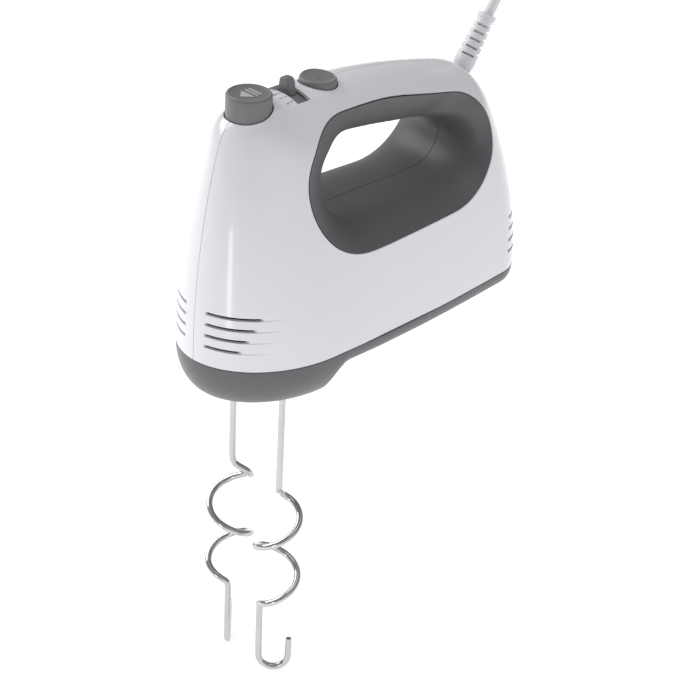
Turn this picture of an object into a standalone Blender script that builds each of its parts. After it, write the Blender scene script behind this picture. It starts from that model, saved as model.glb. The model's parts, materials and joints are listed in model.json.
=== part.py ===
"""Hand mixer with a pair of wire dough hooks, as an assembly of separate pieces.

The design datum is the seam plane between housing and base (z = 0), with the two spindles at y = 0,
the mirror plane at x = 0, the nose towards -Y and the hooks hanging down. Sizes are in millimetres
and become metres when a mesh is made. One empty carries everything, so that the world's origin is
the middle of the grip, where a hand holds the mixer up.
"""
import bpy
import bmesh
import numpy as np
from math import cos, sin, pi, radians, hypot, atan2
from mathutils import Vector

MM = 0.001
GAP = 0.3                    # between pieces that meet
HALF_GAP = GAP / 2
GRIP_Y, GRIP_Z = 60.0, 110.0  # middle of the grip, seen from the design datum

# Housing
WALL = 2.2
TRIM_WALL = 1.6
TOP_Z = 123.1
HALF_WIDTH = 41.4
NOSE_Y, NOSE_PULL, NOSE_POWER = -43.0, 18.5, 2.2      # foot of the nose, and how it leans back
REAR_Y, REAR_PULL, REAR_POWER = 163.8, 30.1, 1.75
TOP_DROP, TOP_POWER = 15.2, 1.5                       # fall of the top towards the rear
SIDE_DROP, SIDE_POWER = 7.7, 1.42                     # narrowing of the plan towards the rear
TAPER_Y = 45.0                                        # where both begin
LEAN = 0.41                                           # narrowing towards the top
NOSE_ROUND, TOP_ROUND, REAR_ROUND = 53.3, 29.5, 25.9
PROFILE_POWER = 5.3
SECTION_POWER = 2.0
EYE = (62.0, 80.0)           # middle of the handle opening
TRIM_CORNERS = [(-0.6, 47.0, 37.0), (127.0, 48.5, 30.0), (127.0, 98.8, 23.5), (58.0, 113.7, 150.0),
                (-0.6, 114.1, 29.5)]
TUNNEL_CORNERS = [(22.3, 57.5, 20.0), (121.0, 57.5, 17.0), (118.0, 86.0, 20.0), (22.8, 98.5, 18.0)]
NOSE_VENT_Z, NOSE_VENT_STEP = 27.4, 5.8     # height of the top slot, and the drop to the next one
REAR_VENT_Z, REAR_VENT_STEP = 29.1, 6.3
NOSE_VENT_X, REAR_VENT_X = 6.6, 14.0        # where the slots end beside the seam
NOSE_VENT_REACH, NOSE_VENT_SHORTER = 17.5, 2.6   # the top slot along y, and how much less each next one is
REAR_VENT_REACH = 23.4
VENT_HALF_HEIGHT = 0.85
VENT_ROWS = 4

# Base tray
BAND_DEPTH = 7.5
BOWL_DEPTH = 23.0
BASE_WALL = 2.4
BOWL_END_Y, BOWL_SLOPE = 9.5, 12.5   # where the bowl's floor starts to rise, and over what length
BAND_INSET, BOWL_INSET = 3.0, 9.8    # how far the rounded side runs in at the band, and more at the bowl

# Drive
SPINDLE_X = 17.5
WORM_Z = 24.0
MODULE = 1.0
WHEEL_TEETH = 26
SLEEVE_R = 5.0
SHAFT_R = 2.5
BORE_R = SHAFT_R + GAP
MOTOR_MID_Y = 57.0

# Dough hooks
WIRE_R = 1.75
KINK_Z = -85.0
HELIX_R = 11.0
HELIX_PITCH = 35.0
HELIX_TURNS = 1.75
ARM_DROP = 6.0
CROOK_R = 7.75
CROOK_Z = -184.5
CROOK_TIP_Z = -174.0
SHANK_TOP_Z = 38.0

# Controls
EJECTOR = (0.0, -11.3)
EJECTOR_R = 11.0
EJECTOR_TOP_Z = 128.7
SELECTOR_Y = 13.2
SELECTOR_PIVOT_Z = 97.0
SELECTOR_REST = radians(-3.3)
TURBO_Y = 32.0

# Mains lead
CORD_R = 2.5
GLAND_BASE = Vector((0.0, 133.0, 102.7))
GLAND_AXIS = Vector((0.0, 0.568, 0.823)).normalized()
GLAND_LENGTH = 29.0
AWAY = Vector((-0.695, 0.719, 0.0)).normalized()   # horizontal, from the lead's arc to the hank
ACROSS = Vector((0.719, 0.695, 0.0)).normalized()
HANK_FOOT = Vector((-51.9, 169.0, -48.0))
HANK_LENGTH, HANK_DEPTH, HANK_WIDTH = 80.0, 35.0, 25.0
HANK_END_R = 15.0            # how round the hank's folds are
LEAD_ACROSS = 10.0           # the lead enters the hank at its first layer and leaves it at its last
LEAD_BEND_R = 26.0
PLUG_LENGTH, PLUG_WIDTH, PLUG_THICKNESS = 36.0, 35.0, 14.0
PIN_R, PIN_LENGTH, PIN_SPACING = 2.0, 19.0, 19.0
CORD_ROUTE = [
    (0.0, 154.6, 134.0), (-0.8, 163.1, 144.3), (-3.2, 170.3, 149.1), (-6.9, 177.9, 151.3),
    (-11.6, 185.0, 150.8), (-16.6, 190.8, 147.6), (-21.5, 194.7, 142.0), (-25.6, 196.3, 134.7),
    (-28.6, 195.3, 126.5), (-31.6, 192.1, 114.8), (-35.4, 188.4, 100.8), (-39.2, 184.7, 86.8),
    (-43.0, 181.1, 72.8), (-45.7, 178.5, 58.8), (-46.4, 177.7, 46.0),
]


# ---------------------------------------------------------------- scene and materials

for leftover in list(bpy.data.objects):
    bpy.data.objects.remove(leftover, do_unlink=True)

datum = bpy.data.objects.new("datum", None)
datum.location = (0.0, -GRIP_Y * MM, -GRIP_Z * MM)
bpy.context.scene.collection.objects.link(datum)


def material(name, color, roughness, metallic=0.0):
    made = bpy.data.materials.new(name)
    made.use_nodes = True
    shader = made.node_tree.nodes["Principled BSDF"]
    shader.inputs["Base Color"].default_value = (*color, 1.0)
    shader.inputs["Roughness"].default_value = roughness
    shader.inputs["Metallic"].default_value = metallic
    return made


WHITE = material("white_gloss_plastic", (0.84, 0.84, 0.86), 0.22)
GREY = material("grey_plastic", (0.13, 0.13, 0.135), 0.38)
BASE_GREY = material("base_grey_plastic", (0.15, 0.15, 0.155), 0.35)
GRIP_GREY = material("grip_soft_grey", (0.10, 0.10, 0.105), 0.55)
BLACK = material("black_plastic", (0.03, 0.03, 0.03), 0.5)
STEEL = material("polished_steel", (0.75, 0.75, 0.76), 0.15, 1.0)
IRON = material("core_steel", (0.35, 0.35, 0.36), 0.45, 1.0)
COPPER = material("copper_winding", (0.72, 0.33, 0.16), 0.35, 1.0)
BRASS = material("brass", (0.78, 0.58, 0.25), 0.3, 1.0)
CARBON = material("carbon", (0.05, 0.05, 0.05), 0.7)
NYLON = material("natural_nylon", (0.86, 0.84, 0.76), 0.45)
LEAD_WHITE = material("white_cord", (0.82, 0.82, 0.83), 0.45)


# ---------------------------------------------------------------- mesh tools

def add_object(name, data, look, pivot=(0.0, 0.0, 0.0)):
    made = bpy.data.objects.new(name, data)
    made.parent = datum
    made.location = Vector(pivot) * MM
    data.materials.append(look)
    bpy.context.scene.collection.objects.link(made)
    return made


def solid(name, points, faces, look, pivot=(0.0, 0.0, 0.0), smooth=True):
    """A closed mesh object from points in millimetres, its origin at the pivot."""
    mesh = bpy.data.meshes.new(name)
    mesh.from_pydata([(Vector(p) - Vector(pivot)) * MM for p in points], [], faces)
    shaped = bmesh.new()
    shaped.from_mesh(mesh)
    bmesh.ops.remove_doubles(shaped, verts=shaped.verts, dist=1e-6)
    bmesh.ops.recalc_face_normals(shaped, faces=shaped.faces)
    shaped.to_mesh(mesh)
    shaped.free()
    if smooth:
        mesh.shade_smooth()
        mesh.set_sharp_from_angle(angle=radians(35))
    return add_object(name, mesh, look, pivot)


def grid_faces(rows, columns, wrap_rows=False, wrap_columns=False, start=0):
    """Quads over a grid of points stored row after row."""
    faces = []
    for i in range(rows if wrap_rows else rows - 1):
        for j in range(columns if wrap_columns else columns - 1):
            a = start + i * columns + j
            b = start + i * columns + (j + 1) % columns
            c = start + ((i + 1) % rows) * columns + (j + 1) % columns
            d = start + ((i + 1) % rows) * columns + j
            faces.append((a, b, c, d))
    return faces


def loft(rings, closed_ends=True):
    """Points and faces through rings of equal length; the end rings are capped."""
    count = len(rings[0])
    points = [p for ring in rings for p in ring]
    faces = grid_faces(len(rings), count, wrap_columns=True)
    if closed_ends:
        faces.append(tuple(reversed(range(count))))
        last = (len(rings) - 1) * count
        faces.append(tuple(range(last, last + count)))
    return points, faces


def turned(name, profile, look, base=(0.0, 0.0, 0.0), axis=(0.0, 0.0, 1.0), sides=32, pivot=None):
    """A solid of revolution. The profile is a closed loop of (radius, height) when no radius is 0,
    and otherwise an open line that starts and ends on the axis."""
    axis = Vector(axis).normalized()
    side = axis.orthogonal().normalized()
    other = axis.cross(side)
    base = Vector(base)
    points, faces = [], []
    on_axis = profile[0][0] == 0.0
    inner = profile[1:-1] if on_axis else profile
    for radius, height in inner:
        for k in range(sides):
            turn = 2 * pi * k / sides
            points.append(base + axis * height + (side * cos(turn) + other * sin(turn)) * radius)
    faces = grid_faces(len(inner), sides, wrap_rows=not on_axis, wrap_columns=True)
    if on_axis:
        for height, first in ((profile[0][1], 0), (profile[-1][1], (len(inner) - 1) * sides)):
            points.append(base + axis * height)
            tip = len(points) - 1
            faces += [(tip, first + k, first + (k + 1) % sides) for k in range(sides)]
    return solid(name, points, faces, look, base if pivot is None else pivot)


def prism(name, outline, look, low, high, place, pivot=(0.0, 0.0, 0.0), smooth=False):
    """An outline of (a, b) pulled from low to high; place(a, b, h) gives the point."""
    rings = [[place(a, b, h) for a, b in outline] for h in (low, high)]
    points, faces = loft(rings)
    return solid(name, points, faces, look, pivot, smooth)


def block(name, low, high, look, pivot=(0.0, 0.0, 0.0)):
    outline = [(low[0], low[1]), (high[0], low[1]), (high[0], high[1]), (low[0], high[1])]
    return prism(name, outline, look, low[2], high[2], lambda a, b, h: (a, b, h), pivot)


def ring_prism(name, outer, inner, look, low, high, place, pivot=(0.0, 0.0, 0.0)):
    """A prism with a hole: two outlines with the same number of points."""
    loops = [[place(a, b, h) for a, b in line] for line, h in
             ((outer, low), (outer, high), (inner, high), (inner, low))]
    points = [p for loop in loops for p in loop]
    return solid(name, points, grid_faces(4, len(outer), wrap_rows=True, wrap_columns=True), look, pivot)


def cut(target, cutter_name, points, faces):
    """Takes a cutter's volume out of the target with an exact Boolean."""
    cutter = solid(cutter_name, points, faces, BLACK, smooth=False)
    cutter.hide_render = True
    cutter.hide_set(True)
    cutter.display_type = "WIRE"
    boolean = target.modifiers.new(cutter_name, "BOOLEAN")
    boolean.operation = "DIFFERENCE"
    boolean.solver = "EXACT"
    boolean.object = cutter


def join(target, helper_name, points, faces):
    """Adds a helper's volume to the target, so that both are one body."""
    helper = solid(helper_name, points, faces, BLACK, smooth=False)
    helper.hide_render = True
    helper.hide_set(True)
    helper.display_type = "WIRE"
    union = target.modifiers.new(helper_name, "BOOLEAN")
    union.operation = "UNION"
    union.solver = "EXACT"
    union.object = helper


def round_outline(center, radius, sides=32, squash=1.0):
    return [(center[0] + radius * cos(2 * pi * k / sides),
             center[1] + radius * squash * sin(2 * pi * k / sides)) for k in range(sides)]


def rounded_polygon(corners, steps=10):
    """Points of a convex polygon whose corners (a, b, radius) are rounded by arcs."""
    points = []
    count = len(corners)
    for k, (a, b, radius) in enumerate(corners):
        here = Vector((a, b))
        back = (Vector(corners[k - 1][:2]) - here).normalized()
        ahead = (Vector(corners[(k + 1) % count][:2]) - here).normalized()
        half = back.angle(ahead) / 2
        middle = here + (back + ahead).normalized() * (radius / sin(half))
        start = here + back * (radius * cos(half) / sin(half)) - middle
        sweep = pi - 2 * half
        for step in range(steps + 1):
            turn = sweep * step / steps
            points.append((middle.x + start.x * cos(turn) - start.y * sin(turn),
                           middle.y + start.x * sin(turn) + start.y * cos(turn)))
    return points


def reach_of(outline, center):
    """Distance from the center to a closed outline, as a function of direction."""
    line = []
    for k, (a, b) in enumerate(outline):
        c, d = outline[(k + 1) % len(outline)]
        for step in range(6):
            part = step / 6
            line.append((a + (c - a) * part - center[0], b + (d - b) * part - center[1]))
    pairs = sorted((atan2(b, a) % (2 * pi), hypot(a, b)) for a, b in line)
    turns = np.array([p[0] for p in pairs])
    sizes = np.array([p[1] for p in pairs])
    return lambda turn: float(np.interp(turn % (2 * pi), turns, sizes, period=2 * pi))


def tube_along(name, path, radius, sides, look, pivot=(0.0, 0.0, 0.0)):
    """A closed round bar along a path, its rings carried on without twist."""
    path = [Vector(p) for p in path]
    rings = []
    side = (path[1] - path[0]).orthogonal().normalized()
    for k, here in enumerate(path):
        ahead = (path[min(k + 1, len(path) - 1)] - path[max(k - 1, 0)]).normalized()
        side = (side - ahead * side.dot(ahead)).normalized()
        other = ahead.cross(side)
        rings.append([here + (side * cos(2 * pi * s / sides) + other * sin(2 * pi * s / sides)) * radius
                      for s in range(sides)])
    points, faces = loft(rings)
    return solid(name, points, faces, look, pivot)


# ---------------------------------------------------------------- housing surface

def front_y(z):
    return NOSE_Y + NOSE_PULL * (max(z, 0.0) / TOP_Z) ** NOSE_POWER


def rear_y(z):
    return REAR_Y - REAR_PULL * (max(z, 0.0) / 105.0) ** REAR_POWER


def top_z(y):
    return TOP_Z - TOP_DROP * (max(y - TAPER_Y, 0.0) / 84.0) ** TOP_POWER


def side_x(y):
    return HALF_WIDTH - SIDE_DROP * (max(y - TAPER_Y, 0.0) / 100.0) ** SIDE_POWER


def edge_ratio(y, z):
    """0 deep inside the side view's profile, and 1 on its rounded edge."""
    total = 0.0
    sides = ((y - front_y(z), NOSE_ROUND), (top_z(y) - z, TOP_ROUND), (rear_y(z) - y, REAR_ROUND))
    for depth, reach in sides:
        total += (1 - min(depth / reach, 1.0)) ** PROFILE_POWER
    return total ** (1 / PROFILE_POWER)


def half_width(y, z):
    """Half the housing's width at a point of its side view."""
    edge = min(edge_ratio(y, z), 1.0)
    lean = 1 - LEAN * (max(z, 0.0) / TOP_Z) ** 2
    return side_x(y) * lean * (1 - edge * edge) ** (1 / SECTION_POWER)


def profile_reach(turn):
    """Distance from the opening's middle to the edge of the side view, bottom line included."""
    near, far = 0.0, 200.0
    for _ in range(40):
        middle = (near + far) / 2
        y, z = EYE[0] + middle * cos(turn), EYE[1] + middle * sin(turn)
        if z > 0.0 and edge_ratio(y, z) < 1.0:
            near = middle
        else:
            far = middle
    return near


# Directions of the rays from the opening's middle, two of them to the housing's bottom corners.
BOTTOM_CORNERS = [atan2(-EYE[1], NOSE_Y - EYE[0]), atan2(-EYE[1], REAR_Y - EYE[0])]
TURN_STEPS, TURN_OFFSET = 46, 0.37   # the offset keeps the rays off the corners and the cuts
EVEN_TURNS = [2 * pi * (k + TURN_OFFSET) / TURN_STEPS for k in range(TURN_STEPS)]
OPENING_TURNS = sorted([t % (2 * pi) for t in BOTTOM_CORNERS] + EVEN_TURNS)

trim_reach = reach_of(rounded_polygon(TRIM_CORNERS), EYE)
tunnel_reach = reach_of(rounded_polygon(TUNNEL_CORNERS), EYE)


def housing_shell(name, side):
    """One half of the housing: a ring of wall around the handle opening. side is 1 or -1."""
    spacing = [0.0, 0.016, 0.06, 0.15, 0.31, 0.6, 1.0]
    outer, inner = [], []
    for turn in OPENING_TURNS:
        far, near = profile_reach(turn), trim_reach(turn) + HALF_GAP
        on_floor = EYE[1] + far * sin(turn) < 1e-3 and edge_ratio(EYE[0] + far * cos(turn), 0.0) < 0.999
        inner_far = far if on_floor else far - WALL
        for k, part in enumerate(spacing):
            reach = far + (near - far) * part
            y, z = EYE[0] + reach * cos(turn), max(EYE[1] + reach * sin(turn), 0.0)
            x = HALF_GAP if k == 0 and not on_floor else max(half_width(y, z), HALF_GAP)
            outer.append((side * x, y, z))
            reach = inner_far + (near - inner_far) * part
            y, z = EYE[0] + reach * cos(turn), max(EYE[1] + reach * sin(turn), 0.0)
            inner.append((side * (HALF_GAP + (x - HALF_GAP) * (1 - WALL / HALF_WIDTH)), y, z))
    rows, columns = len(OPENING_TURNS), len(spacing)
    faces = grid_faces(rows, columns, wrap_rows=True)
    shift = rows * columns
    faces += [tuple(v + shift for v in reversed(face)) for face in faces]
    for row in range(rows):
        after = (row + 1) % rows
        for column in (0, columns - 1):
            a, b = row * columns + column, after * columns + column
            faces.append((a, b, b + shift, a + shift))
    return solid(name, outer + inner, faces, WHITE)


def vent_cutters(target, side, label):
    """Slots in the nose and in the rear corner of one housing half."""
    points, faces = [], []
    for row in range(VENT_ROWS):
        nose_z = NOSE_VENT_Z - NOSE_VENT_STEP * row
        nose_end = NOSE_Y + NOSE_VENT_REACH - NOSE_VENT_SHORTER * row
        low = Vector((side * NOSE_VENT_X, NOSE_Y - 6.0, nose_z - VENT_HALF_HEIGHT))
        high = Vector((side * 60.0, nose_end, nose_z + VENT_HALF_HEIGHT))
        rear_z = REAR_VENT_Z - REAR_VENT_STEP * row
        rear_low = Vector((side * REAR_VENT_X, REAR_Y - REAR_VENT_REACH, rear_z - VENT_HALF_HEIGHT))
        rear_high = Vector((side * 60.0, REAR_Y + 6.0, rear_z + VENT_HALF_HEIGHT))
        for a, b in ((low, high), (rear_low, rear_high)):
            start = len(points)
            points += [(x, y, z) for z in (a.z, b.z) for x, y in
                       ((a.x, a.y), (b.x, a.y), (b.x, b.y), (a.x, b.y))]
            faces += [tuple(start + v for v in face) for face in
                      ((0, 3, 2, 1), (4, 5, 6, 7), (0, 1, 5, 4), (1, 2, 6, 5), (2, 3, 7, 6), (3, 0, 4, 7))]
    cut(target, "cutter_vents_" + label, points, faces)


def turbo_outline(grow):
    """Egg shape of the turbo button, its narrower end towards the selector."""
    points = []
    for k in range(24):
        turn = 2 * pi * k / 24
        reach_y = 8.8 + grow
        reach_x = (9.4 + grow) * (1 + 0.10 * sin(turn))
        points.append((reach_x * cos(turn), TURBO_Y + reach_y * sin(turn)))
    return points


def upright(a, b, h):
    return (a, b, h)


def control_cutters(target, label):
    """Openings for the three controls and the cord gland; each crosses the seam."""
    outlines = {
        "ejector": (round_outline(EJECTOR, EJECTOR_R + 0.5, 28), 96.0, 130.0),
        "selector": ([(-11.0, 9.2), (11.0, 9.2), (11.0, 17.6), (-11.0, 17.6)], 106.0, 130.0),
        "turbo": (turbo_outline(0.5), 110.0, 130.0),
    }
    for part, (outline, low, high) in outlines.items():
        points, faces = loft([[upright(a, b, h) for a, b in outline] for h in (low, high)])
        cut(target, "cutter_" + part + "_" + label, points, faces)
    side = Vector((1.0, 0.0, 0.0))
    other = GLAND_AXIS.cross(side)
    rings = [[GLAND_BASE + GLAND_AXIS * h + (side * cos(pi * k / 12) + other * sin(pi * k / 12)) * 4.6
              for k in range(24)] for h in (-12.0, 12.0)]
    cut(target, "cutter_gland_" + label, *loft(rings))


for label, side in (("right", 1), ("left", -1)):
    shell = housing_shell("housing_" + label, side)
    vent_cutters(shell, side, label)
    control_cutters(shell, label)


# ---------------------------------------------------------------- grip trim

def grip_trim(name, side):
    """The grey lining of the handle opening: it flares from the tunnel out to the housing's side."""
    spacing = [0.0, 0.06, 0.16, 0.32, 0.6, 1.0]

    def lining(turn, part):
        far, near = trim_reach(turn) - HALF_GAP, tunnel_reach(turn)
        flare = 1 - (1 - part) ** 3
        reach = far + (near - far) * flare
        lip = half_width(EYE[0] + far * cos(turn), EYE[1] + far * sin(turn))
        return Vector((HALF_GAP + (lip - HALF_GAP) * (1 - part),
                       EYE[0] + reach * cos(turn), EYE[1] + reach * sin(turn)))

    front, back = [], []
    for turn in OPENING_TURNS:
        for k, part in enumerate(spacing):
            here = lining(turn, part)
            along = lining(turn + 0.01, part) - lining(turn - 0.01, part)
            inward = lining(turn, min(part + 0.01, 1.0)) - lining(turn, max(part - 0.01, 0.0))
            normal = inward.cross(along).normalized()
            outward = Vector((0.0, cos(turn), sin(turn)))
            if normal.dot(outward) > 0:
                normal.negate()
            if k == 0:
                normal = Vector((1.0, 0.0, 0.0))
            if k == len(spacing) - 1:
                normal.x = 0.0
                normal.normalize()
            behind = here - normal * TRIM_WALL
            front.append((side * here.x, here.y, here.z))
            back.append((side * max(behind.x, HALF_GAP), behind.y, behind.z))
    rows, columns = len(OPENING_TURNS), len(spacing)
    faces = grid_faces(rows, columns, wrap_rows=True)
    shift = rows * columns
    faces += [tuple(v + shift for v in reversed(face)) for face in faces]
    for row in range(rows):
        after = (row + 1) % rows
        for column in (0, columns - 1):
            a, b = row * columns + column, after * columns + column
            faces.append((a, b, b + shift, a + shift))
    return solid(name, front + back, faces, GRIP_GREY)


grip_trim("grip_trim_right", 1)
grip_trim("grip_trim_left", -1)


# ---------------------------------------------------------------- base tray

def base_depth(y):
    """Depth of the tray below the seam: a deep bowl under the nose, a thin band behind it."""
    part = min(max((y - BOWL_END_Y) / BOWL_SLOPE, 0.0), 1.0)
    return BOWL_DEPTH + (BAND_DEPTH - BOWL_DEPTH) * part * part * (3 - 2 * part)


def base_tray():
    """One closed tray with a rounded outside and an even wall."""
    count = 26
    ys = [NOSE_Y + (REAR_Y - NOSE_Y) * (1 - cos(pi * k / count)) / 2 for k in range(count + 1)]
    right = [(half_width(y, 0.05), y) for y in ys]
    right[0], right[-1] = (0.0, NOSE_Y), (0.0, REAR_Y)
    outline = right + [(-x, y) for x, y in reversed(right[1:-1])]
    total = len(outline)
    normals = []
    for k in range(total):
        ahead = Vector(outline[(k + 1) % total]) - Vector(outline[k - 1])
        normals.append(Vector((ahead.y, -ahead.x)).normalized())

    def tray_ring(turn, wall, top):
        ring = []
        for (x, y), normal in zip(outline, normals):
            depth = base_depth(y) - wall
            share = (depth + wall - BAND_DEPTH) / (BOWL_DEPTH - BAND_DEPTH)
            inset = (BAND_INSET + BOWL_INSET * share) * (1 - cos(turn)) + wall
            ring.append((x - normal.x * inset, y - normal.y * inset, top - (depth + top) * sin(turn)))
        return ring

    def flat_ring(ring, part):
        return [(x * part, 40.0 + (y - 40.0) * (0.55 + 0.45 * part), z) for x, y, z in ring]

    turns = [0.0, radians(30), radians(60), radians(90)]
    outside = [tray_ring(t, 0.0, -GAP) for t in turns]
    inside = [tray_ring(t, BASE_WALL, -GAP) for t in turns]

    def depth_ring(part, wall):
        edge = outside[-1] if wall == 0.0 else inside[-1]
        return [(x, y, wall - base_depth(y)) for x, y, _ in flat_ring(edge, part)]

    outside += [depth_ring(part, 0.0) for part in (0.6, 0.2)]
    inside += [depth_ring(part, BASE_WALL) for part in (0.6, 0.2)]
    rings = list(reversed(outside)) + inside
    points, faces = loft(rings, closed_ends=False)
    for start in (0, (len(rings) - 1) * total):
        for k in range(count):
            across = [k, k + 1, (total - k - 1) % total, (total - k) % total]
            faces.append([start + v for v in dict.fromkeys(across)])
    return points, faces


tray = solid("base_cover", *base_tray(), BASE_GREY)
for label, x in (("right", SPINDLE_X), ("left", -SPINDLE_X)):
    hole = round_outline((x, 0.0), 7.6, 20)
    points, faces = loft([[upright(a, b, h) for a, b in hole] for h in (-30.0, -12.0)])
    cut(tray, "cutter_spindle_" + label, points, faces)


# ---------------------------------------------------------------- gears and spindles

def toothed(name, teeth, root, tip, share, look, low, high, place, twist=0.0, phase=0.0, pivot=(0, 0, 0),
            bore=BORE_R, layers=1):
    """A toothed ring with a bore; share is the part of the pitch that a tooth fills half-way up."""
    outline, hole, shifts = [], [], []
    step = 2 * pi / teeth
    for tooth in range(teeth):
        middle = phase + tooth * step
        foot, crest = share * 0.66, share * 0.32
        for reach, offset in ((root, -foot), (tip, -crest), (tip, crest), (root, foot)):
            outline.append((reach, middle + offset * step))
            hole.append((bore, middle + offset * step))
    rings = []
    for layer in range(layers + 1):
        h = low + (high - low) * layer / layers
        turn = twist * (h - (low + high) / 2)
        rings.append([place(r * cos(t + turn), r * sin(t + turn), h) for r, t in outline])
    rings.append([place(r * cos(t), r * sin(t), high) for r, t in hole])
    rings.append([place(r * cos(t), r * sin(t), low) for r, t in hole])
    points = [p for ring in rings for p in ring]
    return solid(name, points, grid_faces(len(rings), len(outline), wrap_rows=True, wrap_columns=True), look,
                 pivot, smooth=False)


def spindle(label, side):
    """Worm wheel, hollow spindle, its lower bush and the hook's joint line, about one vertical axis."""
    x = side * SPINDLE_X
    pitch_r = WHEEL_TEETH * MODULE / 2
    slope = MODULE / 2 / (SPINDLE_X - pitch_r)
    inner_side = pi if side > 0 else 0.0
    half_pitch = pi / WHEEL_TEETH
    phase = inner_side + (half_pitch if side > 0 else 0.0)
    toothed("worm_wheel_" + label, WHEEL_TEETH, pitch_r - 1.0, pitch_r + 0.7, 0.40, NYLON, WORM_Z - 5.0,
            WORM_Z + 5.0, lambda a, b, h: (x + a, b, h), twist=side * slope / pitch_r, phase=phase,
            pivot=(x, 0.0, WORM_Z), bore=SLEEVE_R + GAP)
    turned("spindle_sleeve_" + label, [(WIRE_R + GAP, -24.5), (SLEEVE_R, -24.5), (SLEEVE_R, 43.8),
                                       (WIRE_R + GAP, 43.8)], STEEL, (x, 0.0, 0.0), sides=20)
    turned("spindle_bush_" + label, [(SLEEVE_R + GAP, -22.7), (7.3, -22.7), (7.3, -18.9), (8.3, -18.9),
                                     (8.3, -16.5), (SLEEVE_R + GAP, -16.5)], BRASS, (x, 0.0, 0.0), sides=16)


spindle("right", 1)
spindle("left", -1)


def worm():
    """A single-start right-hand worm: rings along Y whose points rise where the thread passes."""
    lead = pi * MODULE
    root, tip = SPINDLE_X - 13.0 - 1.0, SPINDLE_X - 13.0 + 0.6
    low, high = -8.0, 8.0
    around = 14
    per_lead = 8
    rows = int(round((high - low) / lead * per_lead))
    rings = []
    for row in range(rows + 1):
        y = low + (high - low) * row / rows
        ring = []
        for k in range(around):
            turn = 2 * pi * k / around
            crest = lead * (turn - pi / 2) / (2 * pi)
            away = abs((y - crest + lead / 2) % lead - lead / 2) / lead
            rise = min(max((0.30 - away) / 0.16, 0.0), 1.0)
            if abs(y) > high - 1.6:
                rise = 0.0
            reach = root + (tip - root) * rise
            ring.append((reach * sin(turn), y, WORM_Z + reach * cos(turn)))
        rings.append(ring)
    hole = [[(BORE_R * sin(2 * pi * k / around), y, WORM_Z + BORE_R * cos(2 * pi * k / around))
             for k in range(around)] for y in (high, low)]
    points = [p for ring in rings + hole for p in ring]
    faces = grid_faces(len(rings) + 2, around, wrap_rows=True, wrap_columns=True)
    return solid("worm", points, faces, STEEL, (0.0, 0.0, WORM_Z), smooth=False)


worm()


# ---------------------------------------------------------------- motor

def along_motor(a, b, h):
    """A point of a section across the motor, h along Y."""
    return (a, h, WORM_Z + b)


MOTOR_AXIS = (0.0, 1.0, 0.0)
AXIS_POINT = (0.0, 0.0, WORM_Z)

turned("motor_shaft", [(0.0, -16.0), (SHAFT_R, -16.0), (SHAFT_R, 107.0), (0.0, 107.0)], STEEL, AXIS_POINT,
       MOTOR_AXIS, sides=20)
toothed("armature_core", 12, 8.6, 11.6, 0.62, IRON, MOTOR_MID_Y - 13.0, MOTOR_MID_Y + 13.0, along_motor,
        pivot=AXIS_POINT)
for label, y, reach in (("front", MOTOR_MID_Y - 13.3, -5.5), ("rear", MOTOR_MID_Y + 13.3, 5.5)):
    turned("armature_winding_" + label,
           [(BORE_R, y), (9.8, y), (10.4, y + reach * 0.4), (8.6, y + reach), (BORE_R, y + reach)],
           COPPER, AXIS_POINT, MOTOR_AXIS, sides=16)
turned("commutator", [(BORE_R, 80.0), (7.0, 80.0), (7.0, 90.0), (BORE_R, 90.0)],
       COPPER, AXIS_POINT, MOTOR_AXIS, sides=20)
toothed("cooling_fan", 11, 7.0, 18.5, 0.34, BLACK, 29.5, 36.5, along_motor, pivot=AXIS_POINT)
for label, y in (("front", 20.5), ("rear", 98.0)):
    turned(label + "_bearing", [(BORE_R, y), (6.5, y), (7.5, y + 2.0), (7.5, y + 4.0), (6.5, y + 6.0),
                                (BORE_R, y + 6.0)], BRASS, AXIS_POINT, MOTOR_AXIS, sides=16)


def stator():
    """Laminated stack: a rounded frame whose bore opens into a slot above and below."""
    outer, inner = [], []
    for k in range(36):
        turn = 2 * pi * k / 36
        cap = (abs(cos(turn) / 23.0) ** 5 + abs(sin(turn) / 19.5) ** 5) ** (-1 / 5)
        outer.append((cap * cos(turn), cap * sin(turn)))
        pole = abs(cos(turn)) > cos(radians(45))
        reach = 12.3 if pole else 17.4
        inner.append((reach * cos(turn), reach * sin(turn)))
    ring_prism("stator_core", outer, inner, IRON, MOTOR_MID_Y - 13.0, MOTOR_MID_Y + 13.0, along_motor)


def field_coil(label, side):
    """A coil around one pole: two straight sides in the slots and a head at each end."""
    turns = [radians(t) for t in (-84, -70, -56.5, -30, 0, 30, 56.5, 70, 84)]
    lengths = [MOTOR_MID_Y + d for d in (-19.5, -13.6, 13.6, 19.5)]
    points = []
    for reach in (12.9, 16.6):
        for y in lengths:
            for turn in turns:
                points.append((side * reach * cos(turn), y, WORM_Z + reach * sin(turn)))
    columns, rows = len(turns), len(lengths)
    shift = columns * rows
    window = {(1, column) for column in range(2, 6)}
    solid_cells = {(r, c) for r in range(rows - 1) for c in range(columns - 1)} - window
    faces = []
    for r, c in solid_cells:
        a = r * columns + c
        quad = (a, a + 1, a + 1 + columns, a + columns)
        faces.append(quad)
        faces.append(tuple(v + shift for v in reversed(quad)))
        edges = (((r - 1, c), (a, a + 1)), ((r + 1, c), (a + columns, a + 1 + columns)),
                 ((r, c - 1), (a, a + columns)), ((r, c + 1), (a + 1, a + 1 + columns)))
        for neighbour, (p, q) in edges:
            if neighbour not in solid_cells:
                faces.append((p, q, q + shift, p + shift))
    solid("field_coil_" + label, points, faces, COPPER, smooth=False)


stator()
field_coil("right", 1)
field_coil("left", -1)

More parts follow.
